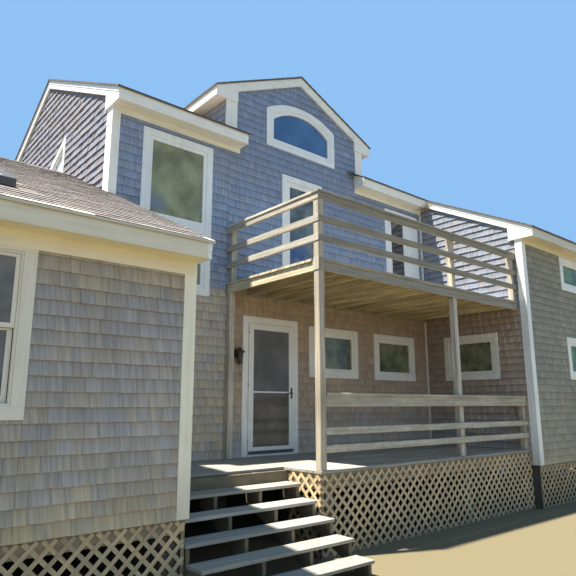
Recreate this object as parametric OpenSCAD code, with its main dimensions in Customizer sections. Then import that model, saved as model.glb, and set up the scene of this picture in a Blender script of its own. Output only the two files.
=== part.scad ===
// Two-storey shingled beach house with a one-storey wing, two decks, a stair and a lattice skirt.
// Lengths are in millimetres. Below, X runs along the front, Y runs to the back and Z runs up.
// While the pieces are placed, x = 0 is the left side of the decks, y = 0 is the main front wall
// and z = 0 is the ground. seat() then moves everything so that the origin is bottom centre.

/* [Levels above the ground] */
// Top of the lower deck and of the ground floor
deck_level = 1020; // [960:10:1080]
// Top of the upper deck and of the upper floor
upper_level = 3770; // [3740:10:3800]
// Underside of the shingled walls, where the lattice skirt begins
wall_base = 750; // [720:10:780]
// Roof edge along the main front eave
main_eave_level = 6370; // [6350:10:6450]
// Roof edge along the wing's eaves
wing_eave_level = 3490; // [3450:10:3550]

/* [Plan] */
// Length of the wing along the front
wing_length = 4200; // [4000:50:4800]
// How far the wing's front wall stands before the main one
wing_forward = 2450; // [2400:10:2550]
// How far the wing's back wall stands before the main one
wing_setback = 550; // [350:10:650]
// Width of the recess that holds the stair, from the wing to the decks
stair_bay = 2050; // [1950:10:2150]
// Length of the two decks along the front
deck_length = 5300; // [5250:10:5500]
// Depth of the two decks
deck_depth = 2200; // [2150:10:2250]
// Length of the block at the right end
block_length = 4400; // [4300:50:4700]
// How far the right block's front wall stands before the main one
block_forward = 2340; // [2340:10:2400]
// Depth of the two-storey house behind the main front wall
main_depth = 6400; // [6300:50:6700]
// Thickness of the outer walls
wall = 150; // [120:5:170]

/* [Roofs] */
// Rise of the main roof for each unit of run
main_pitch = 0.5; // [0.49:0.005:0.51]
// Rise of the wing's roof for each unit of run
wing_pitch = 0.485; // [0.47:0.005:0.5]
// Rise of the cross gable's roof for each unit of run
gable_pitch = 0.46; // [0.44:0.005:0.48]
// Depth of every roof measured straight down
roof_depth = 200; // [180:5:220]
// Thickness of the shingled layer on top of every roof
roof_skin = 25; // [20:1:30]
// How far the shingled layer reaches past the boards at its edge
lip = 20; // [12:1:25]
// How far the eaves reach past their walls
eave_reach = 290; // [270:5:310]
// How far the rakes reach past the gable walls
rake_reach = 75; // [60:5:90]
// Width of the cross gable's front wall
gable_width = 3420; // [3360:10:3480]

/* [Stair] */
// Number of steps from the ground up to the deck
steps = 6; // [6:1:7]
// Run from one tread to the next
tread_run = 300; // [280:5:310]
// Thickness of a tread
tread_thick = 38; // [32:1:45]

/* [Rails] */
// Height of the rails' flat caps above their decks
rail_height = 960; // [900:10:1000]
// Width of the rail and porch posts
post = 100; // [90:5:110]

/* [Node] */

/* [Hidden] */

siding = [0.42, 0.43, 0.42];
trim_white = [0.82, 0.82, 0.78];
shingle_grey = [0.50, 0.47, 0.44];
plank_grey = [0.45, 0.46, 0.46];
lattice_grey = [0.58, 0.56, 0.50];
glass_blue = [0.25, 0.32, 0.38];
metal_dark = [0.12, 0.12, 0.13];
pier_grey = [0.48, 0.42, 0.34];
cut = 1; // how far a cutting shape runs past a face
seam = 0.3; // gap between pieces that lie against each other without being fixed

// Plan lines
wing_left = -stair_bay - wing_length;
main_left = -stair_bay;
block_right = deck_length + block_length;
wing_back = main_depth - wing_setback;
wing_depth = wing_back + wing_forward;
stair_edge = 1560; // the deck over the stair stops here
gable_left = -80;
gable_right = gable_left + gable_width;
gable_mid = gable_left + gable_width / 2;

// Roof lines: the height of each roof's top at a place
ridge_y = main_depth / 2;
ridge_level = main_eave_level + main_pitch * (ridge_y + eave_reach);
wing_ridge_y = wing_back - wing_depth / 2;
wing_ridge_level = wing_eave_level + wing_pitch * (wing_ridge_y + wing_forward + eave_reach);
function main_top(y) = ridge_level - main_pitch * abs(y - ridge_y);
function wing_top(y) = wing_ridge_level - wing_pitch * abs(y - wing_ridge_y);
function gable_top(x) = ridge_level - gable_pitch * abs(x - gable_mid);
gable_reach = 240; // the cross gable's roof past its walls
gable_soffit = gable_top(gable_left - gable_reach) - roof_depth;
main_soffit = main_eave_level - roof_depth;
block_soffit = main_top(-block_forward - eave_reach) - roof_depth;
wing_soffit = wing_eave_level - roof_depth;
edge_thick = 25; // thickness of the fascia and rake boards
end_board = 20; // thickness of the board that closes the main eave beside the cross gable
fascia_back = lip + edge_thick; // from a roof's edge to the back of its fascia
eave_in = [300, 230]; // how far the main eave runs in front of the cross gable, left and right

// The part's box and the move that puts its bottom centre at the origin
tread_count = steps - 1;
stair_foot = -stair_edge - tread_count * tread_run;
box_left = wing_left - rake_reach;
box_right = block_right + rake_reach;
box_front = stair_foot;
box_back = main_depth + eave_reach;
module seat() translate([-(box_left + box_right) / 2, -(box_front + box_back) / 2, 0]) children();

// A box from its two corners
module span(low, high) translate(low) cube(high - low);
// A profile drawn in Y and Z, run along X from one place to another
module along_x(from, to) translate([from, 0, 0]) rotate([90, 0, 90]) linear_extrude(to - from) children();
// A profile drawn in X and Z, run along Y from one place to another
module along_y(from, to) translate([0, to, 0]) rotate([90, 0, 0]) linear_extrude(to - from) children();

// Openings: [left, right, bottom, top] of the casing's outside
casing = 110; // width of the boards round windows and doors
casing_thick = 25;
big_window = [-1570, -320, 3500, 6010];
deck_door = [1175, 2165, upper_level, 5980];
side_door = [deck_length - 1267, deck_length - 153, upper_level, 5980];
side_door_hole = [side_door[0] + casing, side_door[1] - 267]; // its casing is wider at the right
porch_window_left = [1804, 3082, 2307, 3220];
porch_window_right = [deck_length - 1747, deck_length - 454, 2307, 3220];
block_window_left = deck_length + 1560;
block_window_right = block_window_left + 1280;
block_low_window = [block_window_left, block_window_right, 2325, 3190];
block_high_window = [block_window_left, block_window_right, 4186, 4910];
wing_window = [-4670, -3620, 1706, 3150];
wing_meeting_rail = [2484, 2529];
big_window_rail = [4480, 4680];
porch_side_window = [-1710, -475, 2315, 3220];
house_door = [345, 1533, deck_level, 3270];
arch_window = [807, 2530, 6450, 7180];
arch_rise = 250;
raked_window = [2020, 5600, 6480]; // front edge, sill and top corner of the triangle
raked_casing = 90;
// Windows of the sides that the photograph doesn't show
end_low = [[900, 2150, 2000, 3200], [4100, 5350, 2000, 3200]];
end_high = [[900, 2150, 4650, 5950], [4100, 5350, 4650, 5950]];
back_low = [[-1000, 250, 2000, 3200], [2600, 3850, 2000, 3200], [block_window_left, block_window_right, 2000, 3200]];
back_high = [[-1000, 250, 4650, 5900], [2600, 3850, 4650, 5900], [block_window_left, block_window_right, 4650, 5900]];
wing_back_window = [[-4670, -3620, 1706, 3150]];
wing_left_window = [[-1100, 150, 1706, 3150], [3250, 4500, 1706, 3150]];

// The clear hole of an opening, drawn in the wall's own plane
module hole(o) translate([o[0] + casing, o[2] + casing]) square([o[1] - o[0] - 2 * casing, o[3] - o[2] - 2 * casing]);
module door_hole(o) translate([o[0] + casing, o[2]]) square([o[1] - o[0] - 2 * casing, o[3] - o[2] - casing]);
// The same for the second door of the upper deck
module side_hole() translate([side_door_hole[0], side_door[2]])
  square([side_door_hole[1] - side_door_hole[0], side_door[3] - side_door[2] - casing]);

// Foundation and floors
pier = 200;
inset = 40; // how far the piers stand inside the walls' faces
deck_pier = 140;
module pier_at(x, y, size, top) span([x, y, 0], [x + size, y + size, top]);
module piers() color(pier_grey) seat() {
  for (x = [wing_left + inset, wing_left + (wing_length - pier) / 2, main_left - pier - inset])
    for (y = [inset - wing_forward, wing_ridge_y - pier / 2, wing_back - pier - inset])
      pier_at(x, y, pier, wall_base);
  for (x = [main_left + inset, gable_left, gable_right - pier, deck_length + inset, block_right - pier - inset])
    for (y = [inset, ridge_y - pier / 2, main_depth - pier - inset]) pier_at(x, y, pier, wall_base);
  for (x = [deck_length + inset, block_right - pier - inset])
    pier_at(x, inset - block_forward, pier, wall_base);
  for (x = [2 * inset, mid_post_x, deck_length - 2 * deck_pier])
    pier_at(x, board_over + seam - deck_depth, deck_pier, deck_level - board - lower_rim);
  pier_at(main_left + 2 * inset, board_over + seam - stair_edge, deck_pier, deck_level - board - lower_rim);
}

module house_plan() {
  translate([main_left, 0]) square([block_right - main_left, main_depth]);
  translate([deck_length, -block_forward]) square([block_length, block_forward + cut]);
}
module ground_floor() color(pier_grey) seat()
  translate([0, 0, wall_base]) linear_extrude(deck_level - wall_base) {
    house_plan();
    translate([wing_left, -wing_forward]) square([wing_length, wing_depth]);
    // joins the two
    translate([main_left - cut, cut]) square([2 * cut, wing_back - 2 * cut]);
  }
upper_floor_thick = 300;
module upper_floor() color(pier_grey) seat()
  translate([0, 0, upper_level - upper_floor_thick]) linear_extrude(upper_floor_thick) {
    translate([main_left + wall, wall]) square([block_right - main_left - 2 * wall, main_depth - 2 * wall]);
    translate([deck_length + wall, wall - block_forward])
      square([block_length - 2 * wall, block_forward + cut]);
  }

// Walls
storey_split = 3380; // the front wall's lower and upper pieces meet here
module front_piece(left, right, bottom) along_x(left, right)
  polygon([[0, bottom], [wall, bottom], [wall, storey_split], [0, storey_split]]);
module front_wall_left() color(siding) seat() front_piece(main_left, house_door[0] + casing, deck_level);
module front_wall_over_door() color(siding) seat()
  front_piece(house_door[0] + casing, house_door[1] - casing, house_door[3] - casing);
module front_wall_right() color(siding) seat() difference() {
  front_piece(house_door[1] - casing, deck_length, deck_level);
  along_y(-cut, wall + cut) { hole(porch_window_left); hole(porch_window_right); }
}
function plate(y) = main_top(y) - roof_depth - seam;
module front_wall_upper() color(siding) seat() difference() {
  along_x(main_left, deck_length)
    polygon([[0, storey_split], [wall, storey_split], [wall, plate(wall)], [0, plate(0)]]);
  along_y(-cut, wall + cut) { hole(big_window); door_hole(deck_door); side_hole(); }
  // the cross gable's wall stands here on a level seat
  span([gable_left, -cut, plate(0)], [gable_right, wall + cut, plate(wall) + cut]);
}
module arch_shape(o, rise, inset) {
  w = (o[1] - o[0]) / 2 - inset;
  r = (w * w + rise * rise) / (2 * rise);
  translate([(o[0] + o[1]) / 2, o[3] + rise - inset - r]) intersection() {
    circle(r, $fn = 96);
    translate([-w, r - rise]) square([2 * w, rise + cut]);
  }
  translate([o[0] + inset, o[2] + inset])
    square([o[1] - o[0] - 2 * inset, o[3] - o[2] - 2 * inset + 0.01]);
}
module gable_front_wall() color(siding) seat() difference() {
  along_y(0, wall) polygon([
    [gable_left, plate(0)], [gable_right, plate(0)],
    [gable_right, gable_top(gable_right) - roof_depth - seam], [gable_mid, gable_top(gable_mid) - roof_depth - seam],
    [gable_left, gable_top(gable_left) - roof_depth - seam]]);
  along_y(-cut, wall + cut) arch_shape(arch_window, arch_rise, casing);
}
// The small triangles of wall beside the cross gable, standing on the main roof
module cheek(left, right, at) {
  top = gable_top(at) - roof_depth - seam;
  along_x(left, right) polygon([
    [wall, main_top(wall) + seam], [ridge_y - (ridge_level + seam - top) / main_pitch, top], [wall, top]]);
}
module gable_side_walls() color(siding) seat() {
  cheek(gable_left, gable_left + wall, gable_left);
  cheek(gable_right - wall, gable_right, gable_right);
}
// A gable wall's outline in Y and Z under the main roof
module main_gable(front, back) polygon([
  [front, deck_level], [back, deck_level], [back, plate(back)], [ridge_y, plate(ridge_y)], [front, plate(front)]]);
// A triangle with its upright edge to the front and its long edge along the roof's slope
module raked_hole(o, inset) {
  slant = inset * sqrt(1 + main_pitch * main_pitch);
  polygon([
    [o[0] + inset, o[1] + inset],
    [o[0] + (o[2] - o[1] - inset - slant) / main_pitch, o[1] + inset],
    [o[0] + inset, o[2] - main_pitch * inset - slant]]);
}
module left_wall() color(siding) seat() difference() {
  along_x(main_left, main_left + wall) main_gable(wall, main_depth - wall);
  along_x(main_left - cut, main_left + wall + cut) raked_hole(raked_window, raked_casing);
}
module end_wall() color(siding) seat() difference() {
  along_x(block_right - wall, block_right) main_gable(wall - block_forward, main_depth - wall);
  along_x(block_right - wall - cut, block_right + cut) for (o = concat(end_low, end_high)) hole(o);
}
module back_wall() color(siding) seat() difference() {
  along_x(main_left, block_right) polygon([
    [main_depth - wall, deck_level], [main_depth, deck_level],
    [main_depth, plate(main_depth)], [main_depth - wall, plate(main_depth - wall)]]);
  along_y(main_depth - wall - cut, main_depth + cut) for (o = concat(back_low, back_high)) hole(o);
}
module block_side_wall() color(siding) seat() difference() {
  along_x(deck_length, deck_length + wall) polygon([
    [wall - block_forward, deck_level], [wall, deck_level], [wall, plate(wall)],
    [wall - block_forward, plate(wall - block_forward)]]);
  along_x(deck_length - cut, deck_length + wall + cut) hole(porch_side_window);
}
module block_front_wall() color(siding) seat() difference() {
  along_x(deck_length, block_right) polygon([
    [-block_forward, deck_level], [wall - block_forward, deck_level],
    [wall - block_forward, plate(wall - block_forward)], [-block_forward, plate(-block_forward)]]);
  along_y(-block_forward - cut, wall - block_forward + cut) { hole(block_low_window); hole(block_high_window); }
}
function wing_plate(y) = wing_top(y) - roof_depth - seam;
module wing_front_wall() color(siding) seat() difference() {
  along_x(wing_left, main_left) polygon([
    [-wing_forward, deck_level], [wall - wing_forward, deck_level],
    [wall - wing_forward, wing_plate(wall - wing_forward)], [-wing_forward, wing_plate(-wing_forward)]]);
  along_y(-wing_forward - cut, wall - wing_forward + cut) hole(wing_window);
}
module wing_side_walls() color(siding) seat() {
  difference() {
    along_x(wing_left, wing_left + wall) polygon([
      [wall - wing_forward, deck_level], [wing_back - wall, deck_level],
      [wing_back - wall, wing_plate(wing_back - wall)], [wing_ridge_y, wing_plate(wing_ridge_y)],
      [wall - wing_forward, wing_plate(wall - wing_forward)]]);
    along_x(wing_left - cut, wing_left + wall + cut) for (o = wing_left_window) hole(o);
  }
  along_x(main_left - wall, main_left) polygon([
    [wall - wing_forward, deck_level], [wall, deck_level],
    [wall, wing_plate(wall)], [wall - wing_forward, wing_plate(wall - wing_forward)]]);
}
module wing_back_wall() color(siding) seat() difference() {
  along_x(wing_left, main_left) polygon([
    [wing_back - wall, deck_level], [wing_back, deck_level],
    [wing_back, wing_plate(wing_back)], [wing_back - wall, wing_plate(wing_back - wall)]]);
  along_y(wing_back - wall - cut, wing_back + cut) for (o = wing_back_window) hole(o);
}

// Roofs
gable_room = 1150; // the main roof is open this far back inside the cross gable
eave_front = -eave_reach + fascia_back; // where the main roof's body stops behind its fascia
block_eave_front = -block_forward - eave_reach + fascia_back;
wing_eave_front = -wing_forward - eave_reach + fascia_back;
// A slope's body: its profile in Y and Z from an eave at one place up to another place
under_skin = roof_skin + seam; // from a roof's top down to its body
module main_body(from, to) polygon([
  [from, main_top(from) - under_skin], [to, main_top(to) - under_skin],
  [to, main_top(to) - roof_depth], [from, main_top(from) - roof_depth]]);
module main_skin(from, to) polygon([
  [from, main_top(from)], [to, main_top(to)], [to, main_top(to) - roof_skin], [from, main_top(from) - roof_skin]]);
module wing_body(from, to) polygon([
  [from, wing_top(from) - under_skin], [to, wing_top(to) - under_skin],
  [to, wing_top(to) - roof_depth], [from, wing_top(from) - roof_depth]]);
module wing_skin(from, to) polygon([
  [from, wing_top(from)], [to, wing_top(to)], [to, wing_top(to) - roof_skin], [from, wing_top(from) - roof_skin]]);
// Room in the main roof for the cross gable: its front wall, and the space behind it. The roof's
// body stops a little short at the eave's cut ends, past which their end boards stand.
module gable_notch(past = 0) {
  span([gable_left + eave_in[0] - past, -eave_reach - cut, 0],
       [gable_right - eave_in[1] + past, cut, ridge_level]);
  span([gable_left, 0, 0], [gable_right, wall, ridge_level]);
  span([gable_left + wall, 0, 0], [gable_right - wall, gable_room, ridge_level]);
}
module roof_front() color(shingle_grey) seat() difference() {
  along_x(main_left, block_right) main_body(eave_front, ridge_y);
  gable_notch(end_board);
}
module roof_back() color(shingle_grey) seat()
  along_x(main_left, block_right) main_body(main_depth + eave_reach - fascia_back, ridge_y);
module roof_block() color(shingle_grey) seat()
  along_x(deck_length, block_right) main_body(block_eave_front, eave_front);
// Everything under the main roof's shingled top, for cutting what stands on it
module below_main_roof() along_x(box_left, box_right) polygon([
  [-deck_depth, main_top(-deck_depth)], [ridge_y, ridge_level],
  [ridge_y + cut, ridge_level], [ridge_y + cut, 0], [-deck_depth, 0]]);
module gable_body_2d() {
  left = gable_left - gable_reach + fascia_back;
  right = gable_right + gable_reach - fascia_back;
  polygon([
    [left, gable_top(left) - under_skin], [gable_mid, ridge_level - under_skin],
    [right, gable_top(right) - under_skin],
    [right, gable_top(right) - roof_depth], [gable_mid, ridge_level - roof_depth],
    [left, gable_top(left) - roof_depth]]);
}
module gable_roof() color(shingle_grey) seat() difference() {
  along_y(0, ridge_y) gable_body_2d();
  below_main_roof();
}
module wing_roof_front() color(shingle_grey) seat() difference() {
  along_x(wing_left, main_left) wing_body(wing_eave_front, wing_ridge_y);
  skylight_shaft();
}
module wing_roof_back() color(shingle_grey) seat()
  along_x(wing_left, main_left) wing_body(wing_back + eave_reach - fascia_back, wing_ridge_y);
// One side of the cross gable's shingled layer; it stops where it meets the main roof's
module gable_skin(tip, middle) difference() {
  along_y(-rake_reach, ridge_y) polygon([
    [middle, gable_top(middle)], [tip, gable_top(tip)],
    [tip, gable_top(tip) - roof_skin], [middle, gable_top(middle) - roof_skin]]);
  translate([0, 0, seam]) below_main_roof();
}
module roof_shingles() color(shingle_grey) seat() {
  difference() {
    along_x(main_left - rake_reach, box_right) main_skin(-eave_reach, ridge_y);
    gable_notch();
  }
  along_x(main_left - rake_reach, box_right) main_skin(main_depth + eave_reach, ridge_y + seam);
  along_x(deck_length - rake_reach, box_right) main_skin(-block_forward - eave_reach, -eave_reach - seam);
  gable_skin(gable_left - gable_reach, gable_mid - seam / 2);
  gable_skin(gable_right + gable_reach, gable_mid + seam / 2);
  difference() {
    union() {
      along_x(box_left, main_left) wing_skin(-wing_forward - eave_reach, wing_ridge_y);
      along_x(main_left - cut, main_left + rake_reach) wing_skin(-wing_forward - eave_reach, 0);
    }
    skylight_shaft();
  }
  along_x(box_left, main_left) wing_skin(wing_back + eave_reach, wing_ridge_y + seam);
}
// The skylight stands on the wing's front slope, over a shaft through the roof
skylight_left = -4550;
skylight_right = -3750;
skylight_low = -2030;
skylight_high = -1000;
skylight_rise = 85; // height of its kerb above the shingles
skylight_kerb = 60; // width of the kerb
skylight_pane = 20; // the glass lies this far under the kerb's top
module skylight_profile(inset, from, to) polygon([
  [skylight_low + inset, wing_top(skylight_low + inset) + from],
  [skylight_high - inset, wing_top(skylight_high - inset) + from],
  [skylight_high - inset, wing_top(skylight_high - inset) + to],
  [skylight_low + inset, wing_top(skylight_low + inset) + to]]);
module skylight_shaft() along_x(skylight_left + skylight_kerb, skylight_right - skylight_kerb)
  skylight_profile(skylight_kerb, -2 * roof_depth, 2 * skylight_rise);
module skylight() color(metal_dark) seat() difference() {
  along_x(skylight_left, skylight_right) skylight_profile(0, 0, skylight_rise);
  skylight_shaft();
}
module skylight_glass() along_x(skylight_left + skylight_kerb, skylight_right - skylight_kerb)
  skylight_profile(skylight_kerb, skylight_rise - skylight_pane - glass_thick, skylight_rise - skylight_pane);

// Trim
frieze = 85; // width of the board under the main eaves
wing_frieze = 140;
frieze_thick = 30;
// A level soffit with the frieze board under it, for an eave whose wall face is at y. ends is
// the room that it leaves for end boards, left and right.
module eave_box(left, right, y, low, pitch, board, ends = [0, 0]) {
  along_x(left + ends[0], right - ends[1]) polygon([
    [y - eave_reach + fascia_back, low], [y, low], [y, low + pitch * eave_reach - seam],
    [y - eave_reach + fascia_back, low + pitch * fascia_back - seam]]);
  along_x(left, right)
    polygon([[y - frieze_thick, low], [y - frieze_thick, low - board], [y, low - board], [y, low]]);
}
// The same along the cross gable's side eaves, without a frieze
module gable_soffit_box(side) {
  wall_face = side < 0 ? gable_left : gable_right;
  edge = wall_face + side * (gable_reach - fascia_back);
  difference() {
    along_y(0, ridge_y) polygon([
      [edge, gable_soffit], [wall_face, gable_soffit], [wall_face, gable_top(wall_face) - roof_depth - seam],
      [edge, gable_top(edge) - roof_depth - seam]]);
    below_main_roof();
  }
}
module eave_soffits() color(trim_white) seat() {
  eave_box(main_left, gable_left + eave_in[0], 0, main_soffit, main_pitch, frieze, [0, end_board]);
  eave_box(gable_right - eave_in[1], deck_length, 0, main_soffit, main_pitch, frieze, [end_board, 0]);
  eave_box(deck_length, block_right, -block_forward, block_soffit, main_pitch, frieze);
  eave_box(wing_left, main_left, -wing_forward, wing_soffit, wing_pitch, wing_frieze);
  for (turn = [[main_left, block_right, main_depth, main_soffit, main_pitch, frieze],
               [wing_left, main_left, wing_back, wing_soffit, wing_pitch, wing_frieze]])
    translate([0, 2 * turn[2], 0]) mirror([0, 1, 0])
      eave_box(turn[0], turn[1], turn[2], turn[3], turn[4], turn[5]);
  for (side = [-1, 1]) gable_soffit_box(side);
}
// A fascia board in front of a roof's body, with its front face at y
module fascia_2d(y, low, top, back) polygon([[y, low], [back, low], [back, top[1]], [y, top[0]]]);
module main_fascia(left, right, edge, turn, low) {
  y = edge + turn * lip;
  back = edge + turn * fascia_back;
  along_x(left, right) fascia_2d(y, low, [main_top(y) - under_skin, main_top(back) - under_skin], back);
}
module wing_fascia(edge, turn) {
  y = edge + turn * lip;
  back = edge + turn * fascia_back;
  along_x(wing_left, main_left)
    fascia_2d(y, wing_soffit, [wing_top(y) - under_skin, wing_top(back) - under_skin], back);
}
module gable_fascia(tip, turn) {
  x = tip + turn * lip;
  back = tip + turn * fascia_back;
  difference() {
    along_y(0, ridge_y)
      fascia_2d(x, gable_soffit, [gable_top(x) - under_skin, gable_top(back) - under_skin], back);
    below_main_roof();
  }
}
// The board that closes a cut end of the main eave
module eave_end(left) along_x(left, left + end_board) polygon([
  [-eave_reach + fascia_back, main_soffit], [0, main_soffit], [0, main_top(0) - under_skin],
  [-eave_reach + fascia_back, main_top(-eave_reach + fascia_back) - under_skin]]);
module fascia_boards() color(trim_white) seat() {
  eave_end(gable_left + eave_in[0] - end_board);
  eave_end(gable_right - eave_in[1]);
  main_fascia(main_left, gable_left + eave_in[0], -eave_reach, 1, main_soffit);
  main_fascia(gable_right - eave_in[1], deck_length, -eave_reach, 1, main_soffit);
  main_fascia(deck_length, block_right, -block_forward - eave_reach, 1, block_soffit);
  main_fascia(main_left, block_right, main_depth + eave_reach, -1, main_soffit);
  wing_fascia(-wing_forward - eave_reach, 1);
  wing_fascia(wing_back + eave_reach, -1);
  gable_fascia(gable_left - gable_reach, 1);
  gable_fascia(gable_right + gable_reach, -1);
}
rake_top_board = 85; // height of a rake's outer board; the inner one runs down to the wall
return_in = 230; // how far a rake's return runs past the corner of the wall
// A slope of a rake: [eave end, where the return ends, top end, height at the eave end, pitch, soffit]
function climb(r, p) = r[3] + r[4] * abs(p - r[0]);
module rake_return(r) polygon([
  [r[0], r[3]], [r[2], climb(r, r[2])], [r[2], climb(r, r[2]) - roof_depth + under_skin],
  [r[1], climb(r, r[1]) - roof_depth + under_skin], [r[1], r[5]], [r[0], r[5]]]);
module rake_strip(r) polygon([
  [r[0], r[3]], [r[2], climb(r, r[2])], [r[2], climb(r, r[2]) - rake_top_board], [r[0], r[3] - rake_top_board]]);
rake_step = 6; // how far a rake's outer board stands before the inner one
rake_inner = rake_reach - lip - rake_step; // thickness of the inner board
module rake_x(x, out, slopes) {
  inner = x + out * rake_inner;
  outer = x + out * (rake_reach - lip);
  along_x(min(x, inner), max(x, inner)) for (r = slopes) rake_return(r);
  along_x(min(inner, outer), max(inner, outer)) for (r = slopes) rake_strip(r);
}
front_rake = [lip - eave_reach, return_in, ridge_y, main_top(lip - eave_reach) - under_skin, main_pitch, main_soffit];
back_rake = [main_depth + eave_reach - lip, main_depth - return_in, ridge_y,
  main_top(lip - eave_reach) - under_skin, main_pitch, main_soffit];
function block_rake(to) = [lip - eave_reach - block_forward, return_in - block_forward, to,
  main_top(lip - eave_reach - block_forward) - under_skin, main_pitch, block_soffit];
function wing_rake(to) = [lip - eave_reach - wing_forward, return_in - wing_forward, to,
  wing_top(lip - eave_reach - wing_forward) - under_skin, wing_pitch, wing_soffit];
wing_back_rake = [wing_back + eave_reach - lip, wing_back - return_in, wing_ridge_y,
  wing_top(lip - eave_reach - wing_forward) - under_skin, wing_pitch, wing_soffit];
function gable_rake(tip, turn) = [tip + turn * lip, tip + turn * (gable_reach + return_in), gable_mid,
  gable_top(tip + turn * lip) - under_skin, gable_pitch, gable_soffit];
module rake_boards() color(trim_white) seat() {
  rake_x(main_left, -1, [front_rake, back_rake]);
  rake_x(block_right, 1, [block_rake(ridge_y), back_rake]);
  rake_x(deck_length, -1, [block_rake(lip - eave_reach)]);
  rake_x(main_left, 1, [wing_rake(0)]);
  rake_x(wing_left, -1, [wing_rake(wing_ridge_y), wing_back_rake]);
  difference() {
    for (r = [gable_rake(gable_left - gable_reach, 1), gable_rake(gable_right + gable_reach, -1)]) {
      along_y(-rake_inner, 0) rake_return(r);
      along_y(lip - rake_reach, -rake_inner) rake_strip(r);
    }
    below_main_roof();
  }
}
corner = 115; // width of each face of a corner board
upper_corner = [100, 185]; // the same at the left end of the main front wall: front and side
corner_thick = 25;
gable_corner = [230, 200]; // width of the cross gable's corner boards, left and right
inner_strip = 40; // side of the strips in the inner corner between the front wall and the block
// A corner board: dx and dy point from the corner along its two walls
module corner_l(x, y, dx, dy, side_top, front_top) {
  span([min(x, x - dx * corner_thick), min(y - dy * corner_thick, y + dy * corner), wall_base],
       [max(x, x - dx * corner_thick), max(y - dy * corner_thick, y + dy * corner), side_top]);
  span([min(x, x + dx * corner), min(y, y - dy * corner_thick), wall_base],
       [max(x, x + dx * corner), max(y, y - dy * corner_thick), front_top]);
}
// A board on a front or side wall that stands on a sloping roof
module standing_board(left, right, from, to, low, top) along_x(left, right)
  polygon([[from, low[0] + seam], [to, low[1] + seam], [to, top], [from, top]]);
module corner_boards() color(trim_white) seat() {
  corner_l(main_left, -wing_forward, -1, 1, wing_soffit, wing_soffit - wing_frieze);
  corner_l(wing_left, -wing_forward, 1, 1, wing_soffit, wing_soffit - wing_frieze);
  corner_l(wing_left, wing_back, 1, -1, wing_soffit, wing_soffit - wing_frieze);
  corner_l(main_left, main_depth, 1, -1, main_soffit, main_soffit - frieze);
  corner_l(block_right, main_depth, -1, -1, main_soffit, main_soffit - frieze);
  corner_l(block_right, -block_forward, -1, 1, block_soffit, block_soffit - frieze);
  corner_l(deck_length, -block_forward, 1, 1, block_soffit, block_soffit - frieze);
  // the main front wall's left corner stands on the wing's roof
  standing_board(main_left - corner_thick, main_left, -corner_thick, upper_corner[1],
    [wing_top(-corner_thick), wing_top(upper_corner[1])], main_soffit);
  standing_board(main_left, main_left + upper_corner[0], -corner_thick, 0,
    [wing_top(-corner_thick), wing_top(0)], main_soffit - frieze);
  // the cross gable's corners stand on the main roof
  standing_board(gable_left, gable_left + gable_corner[0], -corner_thick, 0,
    [main_top(-corner_thick), main_top(0)], gable_soffit);
  standing_board(gable_right - gable_corner[1], gable_right, -corner_thick, 0,
    [main_top(-corner_thick), main_top(0)], gable_soffit);
  for (z = [[deck_level, upper_level - board - upper_rim], [upper_level, main_soffit - frieze]])
    span([deck_length - inner_strip, -inner_strip, z[0]], [deck_length, 0, z[1]]);
}

// Windows
sash = 60; // width of the frame between casing and glass
glass_thick = 20;
// A casing with its sash: on the wall's face, and back into the hole
module frame_2d(o) difference() {
  translate([o[0], o[2]]) square([o[1] - o[0], o[3] - o[2]]);
  translate([o[0] + casing + sash, o[2] + casing + sash])
    square([o[1] - o[0] - 2 * casing - 2 * sash, o[3] - o[2] - 2 * casing - 2 * sash]);
}
module face_2d(o) difference() {
  translate([o[0], o[2]]) square([o[1] - o[0], o[3] - o[2]]);
  hole(o);
}
module sash_2d(o) difference() {
  hole(o);
  translate([o[0] + casing + sash, o[2] + casing + sash])
    square([o[1] - o[0] - 2 * casing - 2 * sash, o[3] - o[2] - 2 * casing - 2 * sash]);
}
sash_deep = 60;
glass_in = 20; // how far the glass lies behind the wall's face
// bars are level rails between panes: [bottom, top] of each
module front_frame(o, y, bars = []) {
  along_y(y - casing_thick, y) face_2d(o);
  along_y(y - casing_thick / 2, y + sash_deep) sash_2d(o);
  for (b = bars) span([o[0] + casing, y - casing_thick / 2, b[0]], [o[1] - casing, y + glass_in, b[1]]);
}
module front_glass(o, y) along_y(y + glass_in, y + glass_in + glass_thick)
  translate([o[0] + casing + sash, o[2] + casing + sash])
    square([o[1] - o[0] - 2 * casing - 2 * sash, o[3] - o[2] - 2 * casing - 2 * sash]);
module side_frame(o, x, out) {
  along_x(min(x, x + out * casing_thick), max(x, x + out * casing_thick)) face_2d(o);
  along_x(min(x + out * casing_thick / 2, x - out * sash_deep), max(x + out * casing_thick / 2, x - out * sash_deep)) sash_2d(o);
}
module side_glass(o, x, out)
  along_x(min(x - out * glass_in, x - out * (glass_in + glass_thick)), max(x - out * glass_in, x - out * (glass_in + glass_thick)))
    translate([o[0] + casing + sash, o[2] + casing + sash])
      square([o[1] - o[0] - 2 * casing - 2 * sash, o[3] - o[2] - 2 * casing - 2 * sash]);
// A frame on the back wall faces the other way
module back_frame(o, y) {
  along_y(y, y + casing_thick) face_2d(o);
  along_y(y - sash_deep, y + casing_thick / 2) sash_2d(o);
}
module back_glass(o, y) along_y(y - glass_in - glass_thick, y - glass_in)
  translate([o[0] + casing + sash, o[2] + casing + sash])
    square([o[1] - o[0] - 2 * casing - 2 * sash, o[3] - o[2] - 2 * casing - 2 * sash]);

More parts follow.
